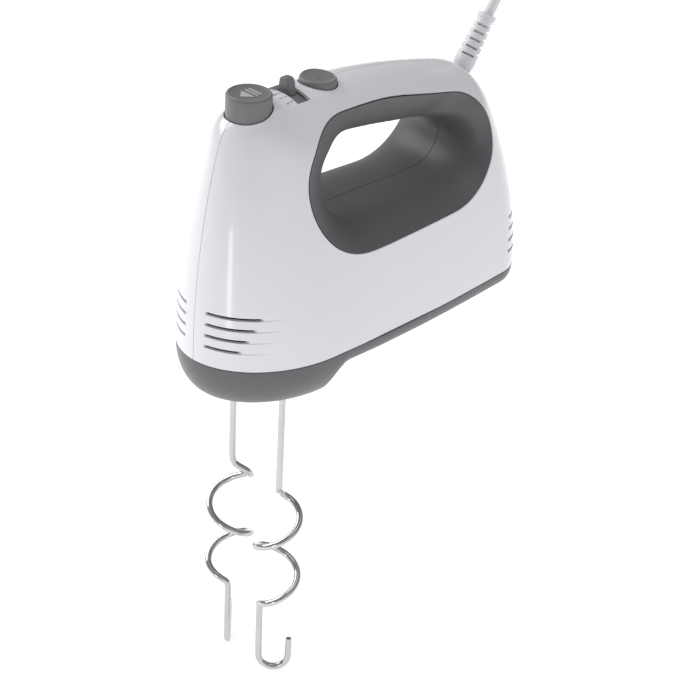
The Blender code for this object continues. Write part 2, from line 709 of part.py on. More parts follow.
for label, side in (("right", 1), ("left", -1)):
    near, far = 7.4, 17.0
    low_x, high_x = sorted((side * near, side * far))
    block("carbon_brush_" + label, (low_x, 82.5, WORM_Z - 2.3), (high_x, 87.5, WORM_Z + 2.3), CARBON)
    outer = [(82.1 - 1.5, -4.2), (87.9 + 1.5, -4.2), (87.9 + 1.5, 4.2), (82.1 - 1.5, 4.2)]
    inner = [(82.1, -2.7), (87.9, -2.7), (87.9, 2.7), (82.1, 2.7)]
    ring_prism("brush_holder_" + label, outer, inner, BRASS, side * 9.5, side * 22.0,
               lambda a, b, h: (h, a, WORM_Z + b))


# ---------------------------------------------------------------- gear frame and ejector

def gear_frame():
    """Upper bearing plate of the gear chamber, with the ejector spring's seat in its middle."""
    corners = [(-30.0, -22.0, 12.0), (30.0, -22.0, 12.0), (30.0, 20.0, 8.0), (-30.0, 20.0, 8.0)]
    outline = rounded_polygon(corners, 4)
    plate = prism("gear_frame", outline, GREY, 40.5, 43.5, upright)
    for label, x in (("right", SPINDLE_X), ("left", -SPINDLE_X)):
        hole = round_outline((x, 0.0), SLEEVE_R + GAP, 24)
        journal = loft([[upright(a, b, h) for a, b in hole] for h in (38.0, 46.0)])
        cut(plate, "cutter_journal_" + label, *journal)


gear_frame()


def spring(name, center, radius, wire, low, high, turns):
    """A coil spring about a vertical axis."""
    steps = 9
    path = []
    for k in range(int(turns * steps) + 1):
        turn = 2 * pi * k / steps
        part = k / (turns * steps)
        path.append((center[0] + radius * cos(turn), center[1] + radius * sin(turn),
                     low + wire + (high - low - 2 * wire) * part))
    return tube_along(name, path, wire, 4, STEEL, (center[0], center[1], low))


def ejector():
    """Button, its post down to a crossbar over both hooks, the guide plate and the return spring."""
    x, y = EJECTOR
    profile = [(0.0, 104.3), (8.0, 104.3), (10.8, 106.0), (EJECTOR_R, 127.2), (10.6, 128.3),
               (9.8, EJECTOR_TOP_Z), (9.2, 128.4), (0.0, 128.2)]
    turned("ejector_button", profile, GREY, (x, y, 0.0), sides=28)
    pin_low, bar_low, bar_high = SHANK_TOP_Z + GAP, 52.0, 57.0
    near, far = SPINDLE_X - 1.4, SPINDLE_X + 1.4
    outline = [(-far, bar_high), (-far, pin_low), (-near, pin_low), (-near, bar_low), (near, bar_low),
               (near, pin_low), (far, pin_low), (far, bar_high)]
    yoke = prism("ejector_yoke", outline, GREY, -1.3, 1.3, lambda a, b, h: (a, h, b), pivot=(x, y, bar_high))
    post = [(1.1, 52.4), (1.1, 56.6), (y + 2.7, 56.6), (y + 2.7, 104.0), (y - 2.7, 104.0), (y - 2.7, 52.4)]
    join(yoke, "yoke_post", *loft([[(h, a, b) for a, b in post] for h in (-3.0, 3.0)]))
    outer = [(a * 1.6, y + (b - y)) for a, b in round_outline((0.0, y), 14.0, 20)]
    ring_prism("ejector_guide", outer, round_outline(EJECTOR, 4.6, 20), GREY, 77.5, 80.0, upright)
    spring("ejector_spring", EJECTOR, 6.4, 0.6, 80.3, 104.0, 5)


def selector():
    """Speed lever: a paddle on a curved skirt that swings on a pin along Y, above the speed switch."""
    pivot = (0.0, SELECTOR_Y, SELECTOR_PIVOT_Z)

    def turned_place(a, b, h):
        return (a * cos(SELECTOR_REST) + b * sin(SELECTOR_REST), h,
                SELECTOR_PIVOT_Z - a * sin(SELECTOR_REST) + b * cos(SELECTOR_REST))

    reach, half, steps = 21.3, radians(27), 16
    arc = [half * (2 * k / steps - 1) for k in range(steps + 1)]
    skirt = [(reach * sin(t), reach * cos(t)) for t in arc]
    skirt += [((reach - 1.5) * sin(t), (reach - 1.5) * cos(t)) for t in reversed(arc)]
    lever = prism("speed_lever", skirt, GREY, 8.4, 18.4, turned_place, pivot)
    paddle = rounded_polygon([(-3.75, reach - 1.2, 0.3), (3.75, reach - 1.2, 0.3), (3.3, 32.3, 2.6),
                              (-3.3, 32.3, 2.6)], 4)
    join(lever, "lever_paddle", *loft([[turned_place(a, b, h) for a, b in paddle] for h in (12.0, 16.4)]))
    web = [(-3.2, -3.2), (3.2, -3.2), (3.2, 3.0), (2.2, 5.0), (2.2, reach - 0.7), (-2.2, reach - 0.7),
           (-2.2, 5.0), (-3.2, 3.0)]
    join(lever, "lever_web", *loft([[turned_place(a, b, h) for a, b in web] for h in (11.6, 14.9)]))
    hole = round_outline((0.0, 0.0), 1.8, 16)
    cut(lever, "cutter_lever_bore", *loft([[turned_place(a, b, h) for a, b in hole] for h in (9.0, 17.5)]))
    turned("selector_pin", [(0.0, 8.0), (1.5, 8.0), (1.5, 18.6), (0.0, 18.6)], STEEL,
           (0.0, 0.0, SELECTOR_PIVOT_Z), MOTOR_AXIS, sides=16)
    block("speed_switch", (-9.0, 0.6, 88.0), (9.0, 7.2, 104.0), BLACK)


def turbo():
    """Egg-shaped button over a spring and its switch."""
    rings = [[(a, b, h) for a, b in turbo_outline(grow)] for grow, h in
             ((0.0, 112.0), (0.0, 124.0), (-0.35, 124.8), (-1.0, 125.2), (-1.8, 124.9))]
    solid("turbo_button", *loft(rings), GREY, (0.0, TURBO_Y, 112.0))
    block("turbo_switch", (-6.0, TURBO_Y - 5.0, 99.8), (6.0, TURBO_Y + 5.0, 104.0), BLACK)
    spring("turbo_spring", (0.0, TURBO_Y), 3.0, 0.4, 104.3, 111.7, 4)


ejector()
selector()
turbo()


# ---------------------------------------------------------------- dough hooks

def hook_path(side):
    """Centre line of one hook: shank, arm, helix and the crook at its foot."""
    start = radians(135)
    path = [(0.0, 0.0, SHANK_TOP_Z), (0.0, 0.0, -20.0), (0.0, 0.0, KINK_Z + 6.0)]
    for reach, drop in ((0.3, 3.2), (1.5, 0.9), (3.6, -0.9), (6.2, -2.4), (8.6, -3.9)):
        path.append((reach * cos(start), reach * sin(start), KINK_Z + drop))
    low = KINK_Z - ARM_DROP
    steps = int(HELIX_TURNS * 18)
    for k in range(1, steps + 1):
        part = k / steps
        turn = start - 2 * pi * HELIX_TURNS * part
        entry = min(part / 0.06, 1.0)
        leave = max((part - 0.88) / 0.12, 0.0)
        reach = 9.8 + (HELIX_R - 9.8) * entry + (CROOK_R - HELIX_R) * leave
        path.append((reach * cos(turn), reach * sin(turn), low - HELIX_PITCH * HELIX_TURNS * part))
    out = start - 2 * pi * HELIX_TURNS
    foot = low - HELIX_PITCH * HELIX_TURNS
    for drop in (2.2, 5.5, 10.0):
        path.append((CROOK_R * cos(out), CROOK_R * sin(out), foot - drop))
    for k in range(9):
        turn = pi * k / 8
        reach = CROOK_R * cos(turn)
        path.append((reach * cos(out), reach * sin(out), CROOK_Z - CROOK_R * sin(turn)))
    path.append((-CROOK_R * cos(out), -CROOK_R * sin(out), CROOK_TIP_Z))
    return [(side * (SPINDLE_X + x), y, z) for x, y, z in path]


for label, side in (("right", 1), ("left", -1)):
    tube_along("dough_hook_" + label, hook_path(side), WIRE_R, 8, STEEL, (side * SPINDLE_X, 0.0, 0.0))


# ---------------------------------------------------------------- screws under the base

for number, (x, y) in enumerate(((0.0, 46.0), (22.0, 126.0), (-22.0, 126.0)), 1):
    cut(tray, "cutter_screw_%d" % number,
        *loft([[upright(a, b, h) for a, b in round_outline((x, y), 3.5, 14)] for h in (-26.0, 4.0)]))
    profile = [(0.0, -6.6), (0.9, -5.6), (2.4, -6.6), (3.1, -5.9), (3.1, -4.4), (1.5, -4.2), (1.5, 2.9),
               (0.0, 3.8)]
    turned("base_screw_%d" % number, profile, STEEL, (x, y, 0.0), sides=12)


# ---------------------------------------------------------------- mains lead

def smooth_line(points, spacing):
    """Evenly spaced points on a Catmull-Rom curve through the route's points."""
    points = [Vector(p) for p in points]
    padded = [points[0] * 2 - points[1]] + points + [points[-1] * 2 - points[-2]]
    dense = []
    for a, b, c, d in zip(padded, padded[1:], padded[2:], padded[3:]):
        for k in range(24):
            t = k / 24
            dense.append(0.5 * ((2 * b) + (c - a) * t + (2 * a - 5 * b + 4 * c - d) * t ** 2
                                + (3 * b - a - 3 * c + d) * t ** 3))
    dense.append(points[-1])
    total = sum((q - p).length for p, q in zip(dense, dense[1:]))
    pieces = max(int(round(total / spacing)), 2)
    line, walked, target = [dense[0]], 0.0, total / pieces
    for p, q in zip(dense, dense[1:]):
        span = (q - p).length
        while walked + span >= target - 1e-6 and len(line) < pieces:
            line.append(p.lerp(q, (target - walked) / span))
            target += total / pieces
        walked += span
    return line + [dense[-1]]


def cord_tube(name, route):
    """A cord as a bevelled curve of straight pieces with filled caps."""
    line = smooth_line(route, 5 * CORD_R)
    line.insert(1, line[0] + (Vector(route[1]) - line[0]).normalized() * 2.0)
    line.insert(-1, line[-1] + (Vector(route[-2]) - line[-1]).normalized() * 2.0)
    curve = bpy.data.curves.new(name, "CURVE")
    curve.dimensions = "3D"
    curve.bevel_depth = CORD_R * MM
    curve.bevel_resolution = 2
    curve.use_fill_caps = True
    spline = curve.splines.new("POLY")
    spline.points.add(len(line) - 1)
    for point, place in zip(spline.points, line):
        point.co = (*(place * MM), 1.0)
    return add_object(name, curve, LEAD_WHITE)


def hank_place(w, z, across=0.0):
    return HANK_FOOT + AWAY * w + ACROSS * across + Vector((0.0, 0.0, z))


def mains_lead():
    """Strain relief, the lead's free stretch, the tied hank, and the plug that lies beside it."""
    profile = [(0.0, -9.0), (6.4, -9.0), (6.4, -6.6), (4.2, -6.6), (4.2, 1.0), (5.4, 1.0), (5.4, 5.0)]
    profile += [(4.4, 25.0), (4.8, 25.6), (4.8, GLAND_LENGTH), (0.0, GLAND_LENGTH)]
    turned("strain_relief", profile, LEAD_WHITE, GLAND_BASE, GLAND_AXIS, sides=16)
    start = GLAND_BASE + GLAND_AXIS * (GLAND_LENGTH + GAP)
    top = hank_place(CORD_R, HANK_LENGTH + GAP, LEAD_ACROSS)
    cord_tube("power_cord", [start] + CORD_ROUTE + [top])

    middle = HANK_LENGTH / 2
    corners = [(0.0, 0.0, 1.0), (HANK_DEPTH, 0.0, HANK_END_R), (HANK_DEPTH, HANK_LENGTH, HANK_END_R),
               (0.0, HANK_LENGTH, 1.0)]
    prism("cord_hank", rounded_polygon(corners, 8), LEAD_WHITE, -HANK_WIDTH / 2, HANK_WIDTH / 2, hank_place)

    side_a, side_b = HANK_WIDTH / 2 + GAP, HANK_DEPTH + GAP
    thick = 1.0
    inner = [(-GAP, -side_a), (side_b, -side_a), (side_b, side_a), (-GAP, side_a)]
    outer = [(-GAP - thick, -side_a - thick), (side_b + thick, -side_a - thick),
             (side_b + thick, side_a + thick), (-GAP - thick, side_a + thick)]
    ring_prism("cord_tie", outer, inner, BLACK, middle - 2.5, middle + 2.5,
               lambda a, b, h: hank_place(a, h, b))

    near, far = CORD_R, CORD_R + 2 * LEAD_BEND_R
    bend = [hank_place(near + LEAD_BEND_R * (1 - cos(pi * k / 6)), -6.0 - LEAD_BEND_R * sin(pi * k / 6),
                       -LEAD_ACROSS)
            for k in range(7)]
    start, end = hank_place(near, -GAP, -LEAD_ACROSS), hank_place(far, -GAP, -LEAD_ACROSS)
    cord_tube("cord_lead", [start] + bend + [end])

    half, neck, shoulder = PLUG_WIDTH / 2, 6.0, 20.0
    right = [(far + neck, 0.0), (far + neck + 2.0, 12.0), (far + half, shoulder), (far + half, PLUG_LENGTH)]
    left = [(2 * far - w, z) for w, z in reversed(right)]
    prism("plug_body", right + left, LEAD_WHITE, -LEAD_ACROSS - PLUG_THICKNESS / 2,
          -LEAD_ACROSS + PLUG_THICKNESS / 2, hank_place)
    for label, offset in (("a", -PIN_SPACING / 2), ("b", PIN_SPACING / 2)):
        foot = hank_place(far + offset, PLUG_LENGTH + GAP, -LEAD_ACROSS)
        turned("plug_pin_" + label, [(0.0, 0.0), (PIN_R, 0.0), (PIN_R, PIN_LENGTH - 1.5), (1.2, PIN_LENGTH),
                                     (0.0, PIN_LENGTH)], BRASS, foot, sides=16)


mains_lead()
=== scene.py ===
"""The looks of the hand mixer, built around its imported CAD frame.

Shapes are worked out in millimetres from the same datum as the CAD: the seam between housing and
base is z = 0, the spindles stand at y = 0, the nose points to -Y. row() turns such a point into the
row frame, in metres.
"""
import json
from math import atan2, cos, hypot, pi, radians, sin

import bmesh
import bpy
import numpy as np
from mathutils import Matrix, Vector


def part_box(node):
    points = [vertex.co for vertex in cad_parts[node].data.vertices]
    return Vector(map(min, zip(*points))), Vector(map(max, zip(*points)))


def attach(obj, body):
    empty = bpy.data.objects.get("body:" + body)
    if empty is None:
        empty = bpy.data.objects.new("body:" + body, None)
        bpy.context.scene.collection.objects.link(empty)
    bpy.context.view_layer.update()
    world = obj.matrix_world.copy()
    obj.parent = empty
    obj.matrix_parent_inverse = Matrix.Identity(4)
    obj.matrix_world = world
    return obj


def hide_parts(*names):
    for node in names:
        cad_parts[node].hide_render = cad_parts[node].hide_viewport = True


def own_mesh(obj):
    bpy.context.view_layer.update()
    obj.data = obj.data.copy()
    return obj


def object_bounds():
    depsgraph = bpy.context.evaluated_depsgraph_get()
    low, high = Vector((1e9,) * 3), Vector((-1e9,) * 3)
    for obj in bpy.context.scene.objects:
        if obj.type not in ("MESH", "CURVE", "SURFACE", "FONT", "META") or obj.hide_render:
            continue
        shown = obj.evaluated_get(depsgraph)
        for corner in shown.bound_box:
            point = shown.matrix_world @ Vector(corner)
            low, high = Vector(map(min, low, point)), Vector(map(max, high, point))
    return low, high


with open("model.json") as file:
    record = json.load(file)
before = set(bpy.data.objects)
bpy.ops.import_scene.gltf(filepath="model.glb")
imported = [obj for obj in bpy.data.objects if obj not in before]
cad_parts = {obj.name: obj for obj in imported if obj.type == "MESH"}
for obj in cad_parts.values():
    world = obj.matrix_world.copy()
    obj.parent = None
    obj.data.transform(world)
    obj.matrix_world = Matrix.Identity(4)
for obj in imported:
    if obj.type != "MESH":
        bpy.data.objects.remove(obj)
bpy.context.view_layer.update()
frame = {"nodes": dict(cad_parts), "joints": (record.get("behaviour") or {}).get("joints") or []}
joints = {joint["name"]: joint for joint in frame["joints"]}

MM = 0.001
GAP = 0.3
HALF_GAP = GAP / 2
DATUM = Vector((0.0, joints["spindle_right_spin"]["pos_m"][1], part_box("base_cover")[1].z + GAP * MM))


def row(point):
    """A point of the design, in millimetres, as a place in the row frame."""
    return DATUM + Vector(point) * MM


# ---------------------------------------------------------------- camera

AZIMUTH, ELEVATION, ROLL = radians(44.0), radians(29.7), radians(3.0)
CAMERA_DISTANCE = 1.234135
CAMERA_TARGET = Vector((0.0, 0.003583, -0.144149))


def make_camera():
    back = Vector((sin(AZIMUTH) * cos(ELEVATION), -cos(AZIMUTH) * cos(ELEVATION), sin(ELEVATION)))
    level = Vector((cos(AZIMUTH), sin(AZIMUTH), 0.0))
    rise = back.cross(level)
    right = level * cos(ROLL) + rise * sin(ROLL)
    data = bpy.data.cameras.new("camera")
    data.lens, data.sensor_width = 124.97, 36.0
    data.clip_start, data.clip_end = 0.05, 30.0
    camera = bpy.data.objects.new("camera", data)
    turn = Matrix((right, back.cross(right), back)).transposed().to_4x4()
    camera.matrix_world = Matrix.Translation(CAMERA_TARGET + back * CAMERA_DISTANCE) @ turn
    bpy.context.scene.collection.objects.link(camera)
    bpy.context.scene.camera = camera


make_camera()


# ---------------------------------------------------------------- materials

def new_material(name, color, roughness, metallic=0.0):
    made = bpy.data.materials.new(name)
    made.use_nodes = True
    nodes = made.node_tree.nodes
    shader = nodes["Principled BSDF"]
    shader.inputs["Base Color"].default_value = (*color, 1.0)
    shader.inputs["Roughness"].default_value = roughness
    shader.inputs["Metallic"].default_value = metallic
    place = nodes.new("ShaderNodeTexCoord")
    return made, nodes, made.node_tree.links, shader, place.outputs["Object"]


def noise_from(nodes, links, place, scale, detail=3.0, stretch=(1.0, 1.0, 1.0)):
    mapping = nodes.new("ShaderNodeMapping")
    mapping.inputs["Scale"].default_value = stretch
    links.new(place, mapping.inputs["Vector"])
    noise = nodes.new("ShaderNodeTexNoise")
    noise.inputs["Scale"].default_value = scale
    noise.inputs["Detail"].default_value = detail
    links.new(mapping.outputs["Vector"], noise.inputs["Vector"])
    return noise.outputs["Fac"]


def vary_color(nodes, links, shader, fac, low, high):
    ramp = nodes.new("ShaderNodeValToRGB")
    ramp.color_ramp.elements[0].position, ramp.color_ramp.elements[1].position = 0.3, 0.7
    ramp.color_ramp.elements[0].color = (*low, 1.0)
    ramp.color_ramp.elements[1].color = (*high, 1.0)
    links.new(fac, ramp.inputs["Fac"])
    links.new(ramp.outputs["Color"], shader.inputs["Base Color"])


def vary_roughness(nodes, links, shader, fac, low, high):
    spread = nodes.new("ShaderNodeMapRange")
    spread.inputs["From Min"].default_value, spread.inputs["From Max"].default_value = 0.3, 0.7
    spread.inputs["To Min"].default_value, spread.inputs["To Max"].default_value = low, high
    links.new(fac, spread.inputs["Value"])
    links.new(spread.outputs["Result"], shader.inputs["Roughness"])


def bump(nodes, links, shader, fac, depth_mm, strength=1.0):
    made = nodes.new("ShaderNodeBump")
    made.inputs["Strength"].default_value = strength
    made.inputs["Distance"].default_value = depth_mm * MM
    links.new(fac, made.inputs["Height"])
    links.new(made.outputs["Normal"], shader.inputs["Normal"])


def scaled(color, share):
    return tuple(c * share for c in color)


def moulded(name, color, roughness, grain_mm, grain_depth, shade=0.03, coat=0.0):
    """Moulded plastic: a fine surface grain, and slow changes of tone and gloss."""
    made, nodes, links, shader, place = new_material(name, color, roughness)
    slow = noise_from(nodes, links, place, 14.0, 2.0)
    vary_color(nodes, links, shader, slow, scaled(color, 1 - shade), scaled(color, 1 + shade))
    fine = noise_from(nodes, links, place, 1.0 / (grain_mm * MM), 2.0)
    vary_roughness(nodes, links, shader, slow, roughness * 0.88, roughness * 1.12)
    bump(nodes, links, shader, fine, grain_depth)
    shader.inputs["IOR"].default_value = 1.5
    if coat:
        shader.inputs["Coat Weight"].default_value = coat
        shader.inputs["Coat Roughness"].default_value = 0.08
    return made


def metal(name, color, roughness, line_mm=0.25, stretch=(1.0, 1.0, 0.04), depth=0.004):
    """Drawn or turned metal: faint lines along one direction, and uneven polish."""
    made, nodes, links, shader, place = new_material(name, color, roughness, 1.0)
    lines = noise_from(nodes, links, place, 1.0 / (line_mm * MM), 2.0, stretch)
    cloud = noise_from(nodes, links, place, 60.0, 3.0)
    vary_roughness(nodes, links, shader, cloud, roughness * 0.7, roughness * 1.35)
    vary_color(nodes, links, shader, cloud, scaled(color, 0.93), scaled(color, 1.03))
    bump(nodes, links, shader, lines, depth)
    return made


def banded(name, color, roughness, metallic, pitch_mm, direction, depth):
    """Something stacked or wound: even ridges at one pitch."""
    made, nodes, links, shader, place = new_material(name, color, roughness, metallic)
    wave = nodes.new("ShaderNodeTexWave")
    wave.bands_direction = direction
    wave.inputs["Scale"].default_value = 1.0 / (pitch_mm * MM) / 3.18
    wave.inputs["Distortion"].default_value = 0.6
    links.new(place, wave.inputs["Vector"])
    vary_color(nodes, links, shader, wave.outputs["Fac"], scaled(color, 0.6), color)
    bump(nodes, links, shader, wave.outputs["Fac"], depth)
    return made


WHITE = moulded("white_gloss", (0.80, 0.80, 0.83), 0.20, 1.6, 0.004, 0.012, coat=0.5)
TRIM = moulded("grip_grey", (0.112, 0.112, 0.117), 0.50, 0.35, 0.03, 0.05)
BASE = moulded("base_grey", (0.115, 0.115, 0.122), 0.36, 0.8, 0.008, 0.03)
CONTROL = moulded("control_grey", (0.175, 0.175, 0.18), 0.42, 0.4, 0.02, 0.04)
INNER = moulded("inner_black", (0.02, 0.02, 0.022), 0.55, 0.4, 0.02, 0.05)
NYLON = moulded("nylon", (0.80, 0.78, 0.70), 0.42, 0.6, 0.01, 0.03)
CORD = moulded("cord_pvc", (0.76, 0.76, 0.79), 0.38, 0.5, 0.012, 0.02)
RIM = moulded("rim_grey", (0.30, 0.30, 0.31), 0.35, 0.4, 0.008, 0.04)
PRINT = moulded("light_print", (0.50, 0.50, 0.51), 0.5, 0.3, 0.006, 0.02)
INK = moulded("dark_print", (0.05, 0.05, 0.055), 0.5, 0.3, 0.004, 0.02)
CARBON = moulded("carbon", (0.03, 0.03, 0.03), 0.65, 0.3, 0.03, 0.08)
STEEL = metal("polished_steel", (0.52, 0.52, 0.525), 0.16)
BRASS = metal("brass", (0.74, 0.56, 0.26), 0.24)
IRON = banded("laminated_core", (0.32, 0.32, 0.33), 0.45, 1.0, 0.5, "Y", 0.05)
COPPER = banded("copper_wire", (0.62, 0.27, 0.12), 0.32, 1.0, 0.45, "Z", 0.12)

KEPT_LOOKS = {
    "gear_frame": CONTROL, "ejector_yoke": CONTROL, "ejector_guide": CONTROL, "selector_pin": STEEL,
    "speed_switch": INNER, "turbo_switch": INNER, "front_bearing": BRASS, "rear_bearing": BRASS,
    "stator_core": IRON, "armature_core": IRON, "field_coil_right": COPPER, "field_coil_left": COPPER,
    "armature_winding_front": COPPER, "armature_winding_rear": COPPER, "commutator": COPPER,
    "carbon_brush_right": CARBON, "carbon_brush_left": CARBON, "brush_holder_right": BRASS,
    "brush_holder_left": BRASS, "motor_shaft": STEEL, "worm": STEEL, "cooling_fan": INNER,
    "worm_wheel_right": NYLON, "worm_wheel_left": NYLON, "plug_pin_a": BRASS, "plug_pin_b": BRASS,
}
for node, look in KEPT_LOOKS.items():
    frame["nodes"][node].data.materials.clear()
    frame["nodes"][node].data.materials.append(look)


# ---------------------------------------------------------------- mesh tools

def mesh_object(name, points, faces, look):
    """A mesh from design points, its seams welded and its faces turned out."""
    mesh = bpy.data.meshes.new(name)
    mesh.from_pydata([row(p) for p in points], [], faces)
    shaped = bmesh.new()
    shaped.from_mesh(mesh)
    bmesh.ops.remove_doubles(shaped, verts=shaped.verts, dist=1e-6)
    bmesh.ops.recalc_face_normals(shaped, faces=shaped.faces)
    shaped.to_mesh(mesh)
    shaped.free()
    mesh.materials.append(look)
    made = bpy.data.objects.new(name, mesh)
    bpy.context.scene.collection.objects.link(made)
    return made


def settle(made, sharp=35.0):
    """Applies the modifiers, then shades smooth between the edges sharper than that many degrees."""
    if made.modifiers:
        graph = bpy.context.evaluated_depsgraph_get()
        graph.update()
        final = bpy.data.meshes.new_from_object(made.evaluated_get(graph))
        made.modifiers.clear()
        made.data = final
    made.data.shade_smooth()
    made.data.set_sharp_from_angle(angle=radians(sharp))
    return made


def belongs(made, body, slot, *nodes):
    """Says which body a piece rides on and the CAD nodes that it stands for, and hides these nodes. The slot
    argument is not used.
    """
    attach(made, body)
    if nodes:
        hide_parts(*nodes)
    return made


def bevel(made, width_mm, segments=3, angle=30.0):
    rounded = made.modifiers.new("bevel", "BEVEL")
    rounded.width = width_mm * MM
    rounded.segments = segments
    rounded.limit_method = "ANGLE"
    rounded.angle_limit = radians(angle)


def cut(made, points, faces):
    """Takes a closed shape out of a piece with an exact Boolean, and removes the cutter."""
    cutter = mesh_object("cutter", points, faces, made.data.materials[0])
    boolean = made.modifiers.new("cut", "BOOLEAN")
    boolean.solver = "EXACT"
    boolean.object = cutter
    settle(made)
    bpy.data.objects.remove(cutter)


def grid_faces(rows, columns, wrap_rows=False, wrap_columns=False, start=0):
    """Quads over a grid of points stored row after row."""
    faces = []
    for i in range(rows if wrap_rows else rows - 1):
        for j in range(columns if wrap_columns else columns - 1):
            a = start + i * columns + j
            b = start + i * columns + (j + 1) % columns
            c = start + ((i + 1) % rows) * columns + (j + 1) % columns
            d = start + ((i + 1) % rows) * columns + j
            faces.append((a, b, c, d))
    return faces


def loft(rings, capped=True):
    """Points and faces through rings of equal length."""
    count = len(rings[0])
    points = [p for ring in rings for p in ring]
    faces = grid_faces(len(rings), count, wrap_columns=True)
    if capped:
        last = (len(rings) - 1) * count
        faces += [tuple(reversed(range(count))), tuple(range(last, last + count))]
    return points, faces


def turned(profile, base=(0.0, 0.0, 0.0), axis=(0.0, 0.0, 1.0), sides=64):
    """Points and faces of a profile of (radius, height) turned about an axis. It is a closed loop
    when no radius is 0, and otherwise an open line from axis to axis."""
    axis = Vector(axis).normalized()
    side = axis.orthogonal().normalized()
    other = axis.cross(side)
    base = Vector(base)
    on_axis = profile[0][0] == 0.0
    inner = profile[1:-1] if on_axis else profile
    points = [base + axis * h + (side * cos(2 * pi * k / sides) + other * sin(2 * pi * k / sides)) * r
              for r, h in inner for k in range(sides)]
    faces = grid_faces(len(inner), sides, wrap_rows=not on_axis, wrap_columns=True)
    if on_axis:
        for height, first in ((profile[0][1], 0), (profile[-1][1], (len(inner) - 1) * sides)):
            points.append(base + axis * height)
            faces += [(len(points) - 1, first + k, first + (k + 1) % sides) for k in range(sides)]
    return points, faces


def tube(path, radius, sides, round_end=0.0):
    """Points and faces of a round bar along a path, its rings carried on without twist."""
    path = [Vector(p) for p in path]
    rings = []
    side = (path[1] - path[0]).orthogonal().normalized()
    for k, here in enumerate(path):
        ahead = (path[min(k + 1, len(path) - 1)] - path[max(k - 1, 0)]).normalized()
        side = (side - ahead * side.dot(ahead)).normalized()
        other = ahead.cross(side)
        wide = radius - (round_end if k in (0, len(path) - 1) else 0.0)
        rings.append([here + (side * cos(2 * pi * s / sides) + other * sin(2 * pi * s / sides)) * wide
                      for s in range(sides)])
    return loft(rings)


def prism(outline, low, high, place=lambda a, b, h: (a, b, h)):
    return loft([[place(a, b, h) for a, b in outline] for h in (low, high)])


def round_outline(center, radius, sides=64):
    return [(center[0] + radius * cos(2 * pi * k / sides), center[1] + radius * sin(2 * pi * k / sides))
            for k in range(sides)]


def rounded_polygon(corners, steps=16):
    """Points of a convex polygon whose corners (a, b, radius) are rounded by arcs."""
    points = []
    for k, (a, b, radius) in enumerate(corners):
        here = Vector((a, b))
        back = (Vector(corners[k - 1][:2]) - here).normalized()
        ahead = (Vector(corners[(k + 1) % len(corners)][:2]) - here).normalized()
        half = back.angle(ahead) / 2
        middle = here + (back + ahead).normalized() * (radius / sin(half))
        start = here + back * (radius * cos(half) / sin(half)) - middle
        for step in range(steps + 1):
            turn = (pi - 2 * half) * step / steps
            points.append((middle.x + start.x * cos(turn) - start.y * sin(turn),
                           middle.y + start.x * sin(turn) + start.y * cos(turn)))
    return points


SOFTEN_STEPS = 7      # half degrees on each side over which an outline's changes of bend are eased


def reach_of(outline, center):
    """Distance from the center to a closed outline, as a function of direction, eased a little."""
    line = []
    for k, (a, b) in enumerate(outline):
        c, d = outline[(k + 1) % len(outline)]
        for step in range(12):
            part = step / 12
            line.append((a + (c - a) * part - center[0], b + (d - b) * part - center[1]))
    pairs = sorted((atan2(b, a) % (2 * pi), hypot(a, b)) for a, b in line)
    turns, sizes = np.array(pairs).T
    even = np.linspace(0.0, 2 * pi, 720, endpoint=False)
    sizes = np.interp(even, turns, sizes, period=2 * pi)
    shifts = range(-SOFTEN_STEPS, SOFTEN_STEPS + 1)
    for _ in range(2):
        sizes = sum(np.roll(sizes, k) for k in shifts) / (2 * SOFTEN_STEPS + 1)
    return lambda turn: float(np.interp(turn % (2 * pi), even, sizes, period=2 * pi))


def smooth_step(value):
    part = min(max(value, 0.0), 1.0)
    return part * part * (3 - 2 * part)


# ---------------------------------------------------------------- mains lead

CORD_R = 2.5
GLAND_BASE = Vector((0.0, 133.0, 102.7))
GLAND_AXIS = Vector((0.0, 0.568, 0.823)).normalized()
GLAND_LENGTH = 29.0
AWAY = Vector((-0.695, 0.719, 0.0)).normalized()
ACROSS = Vector((0.719, 0.695, 0.0)).normalized()
HANK_FOOT = Vector((-51.9, 169.0, -48.0))
HANK_LENGTH, HANK_DEPTH, HANK_WIDTH = 80.0, 35.0, 25.0
LEAD_ACROSS = 10.0
LEAD_BEND_R = 26.0
CORD_ROUTE = [
    (0.0, 154.6, 134.0), (-0.8, 163.1, 144.3), (-3.2, 170.3, 149.1), (-6.9, 177.9, 151.3),
    (-11.6, 185.0, 150.8), (-16.6, 190.8, 147.6), (-21.5, 194.7, 142.0), (-25.6, 196.3, 134.7),
    (-28.6, 195.3, 126.5), (-31.6, 192.1, 114.8), (-35.4, 188.4, 100.8), (-39.2, 184.7, 86.8),
    (-43.0, 181.1, 72.8), (-45.7, 178.5, 58.8), (-46.4, 177.7, 46.0),
]


def hank_place(w, z, across=0.0):
    return HANK_FOOT + AWAY * w + ACROSS * across + Vector((0.0, 0.0, z))


def smooth_line(points, spacing):
    """Evenly spaced points on a Catmull-Rom curve through the route's points."""
    points = [Vector(p) for p in points]
    padded = [points[0] * 2 - points[1]] + points + [points[-1] * 2 - points[-2]]
    dense = []
    for a, b, c, d in zip(padded, padded[1:], padded[2:], padded[3:]):
        for k in range(24):
            t = k / 24
            dense.append(0.5 * ((2 * b) + (c - a) * t + (2 * a - 5 * b + 4 * c - d) * t ** 2
                                + (3 * b - a - 3 * c + d) * t ** 3))
    dense.append(points[-1])
    spans = np.array([(q - p).length for p, q in zip(dense, dense[1:])])
    along = np.concatenate([[0.0], np.cumsum(spans)])
    places = np.linspace(0.0, along[-1], max(int(round(along[-1] / spacing)), 2) + 1)
    flat = np.array([tuple(p) for p in dense])
    return [Vector([np.interp(s, along, flat[:, axis]) for axis in range(3)]) for s in places]


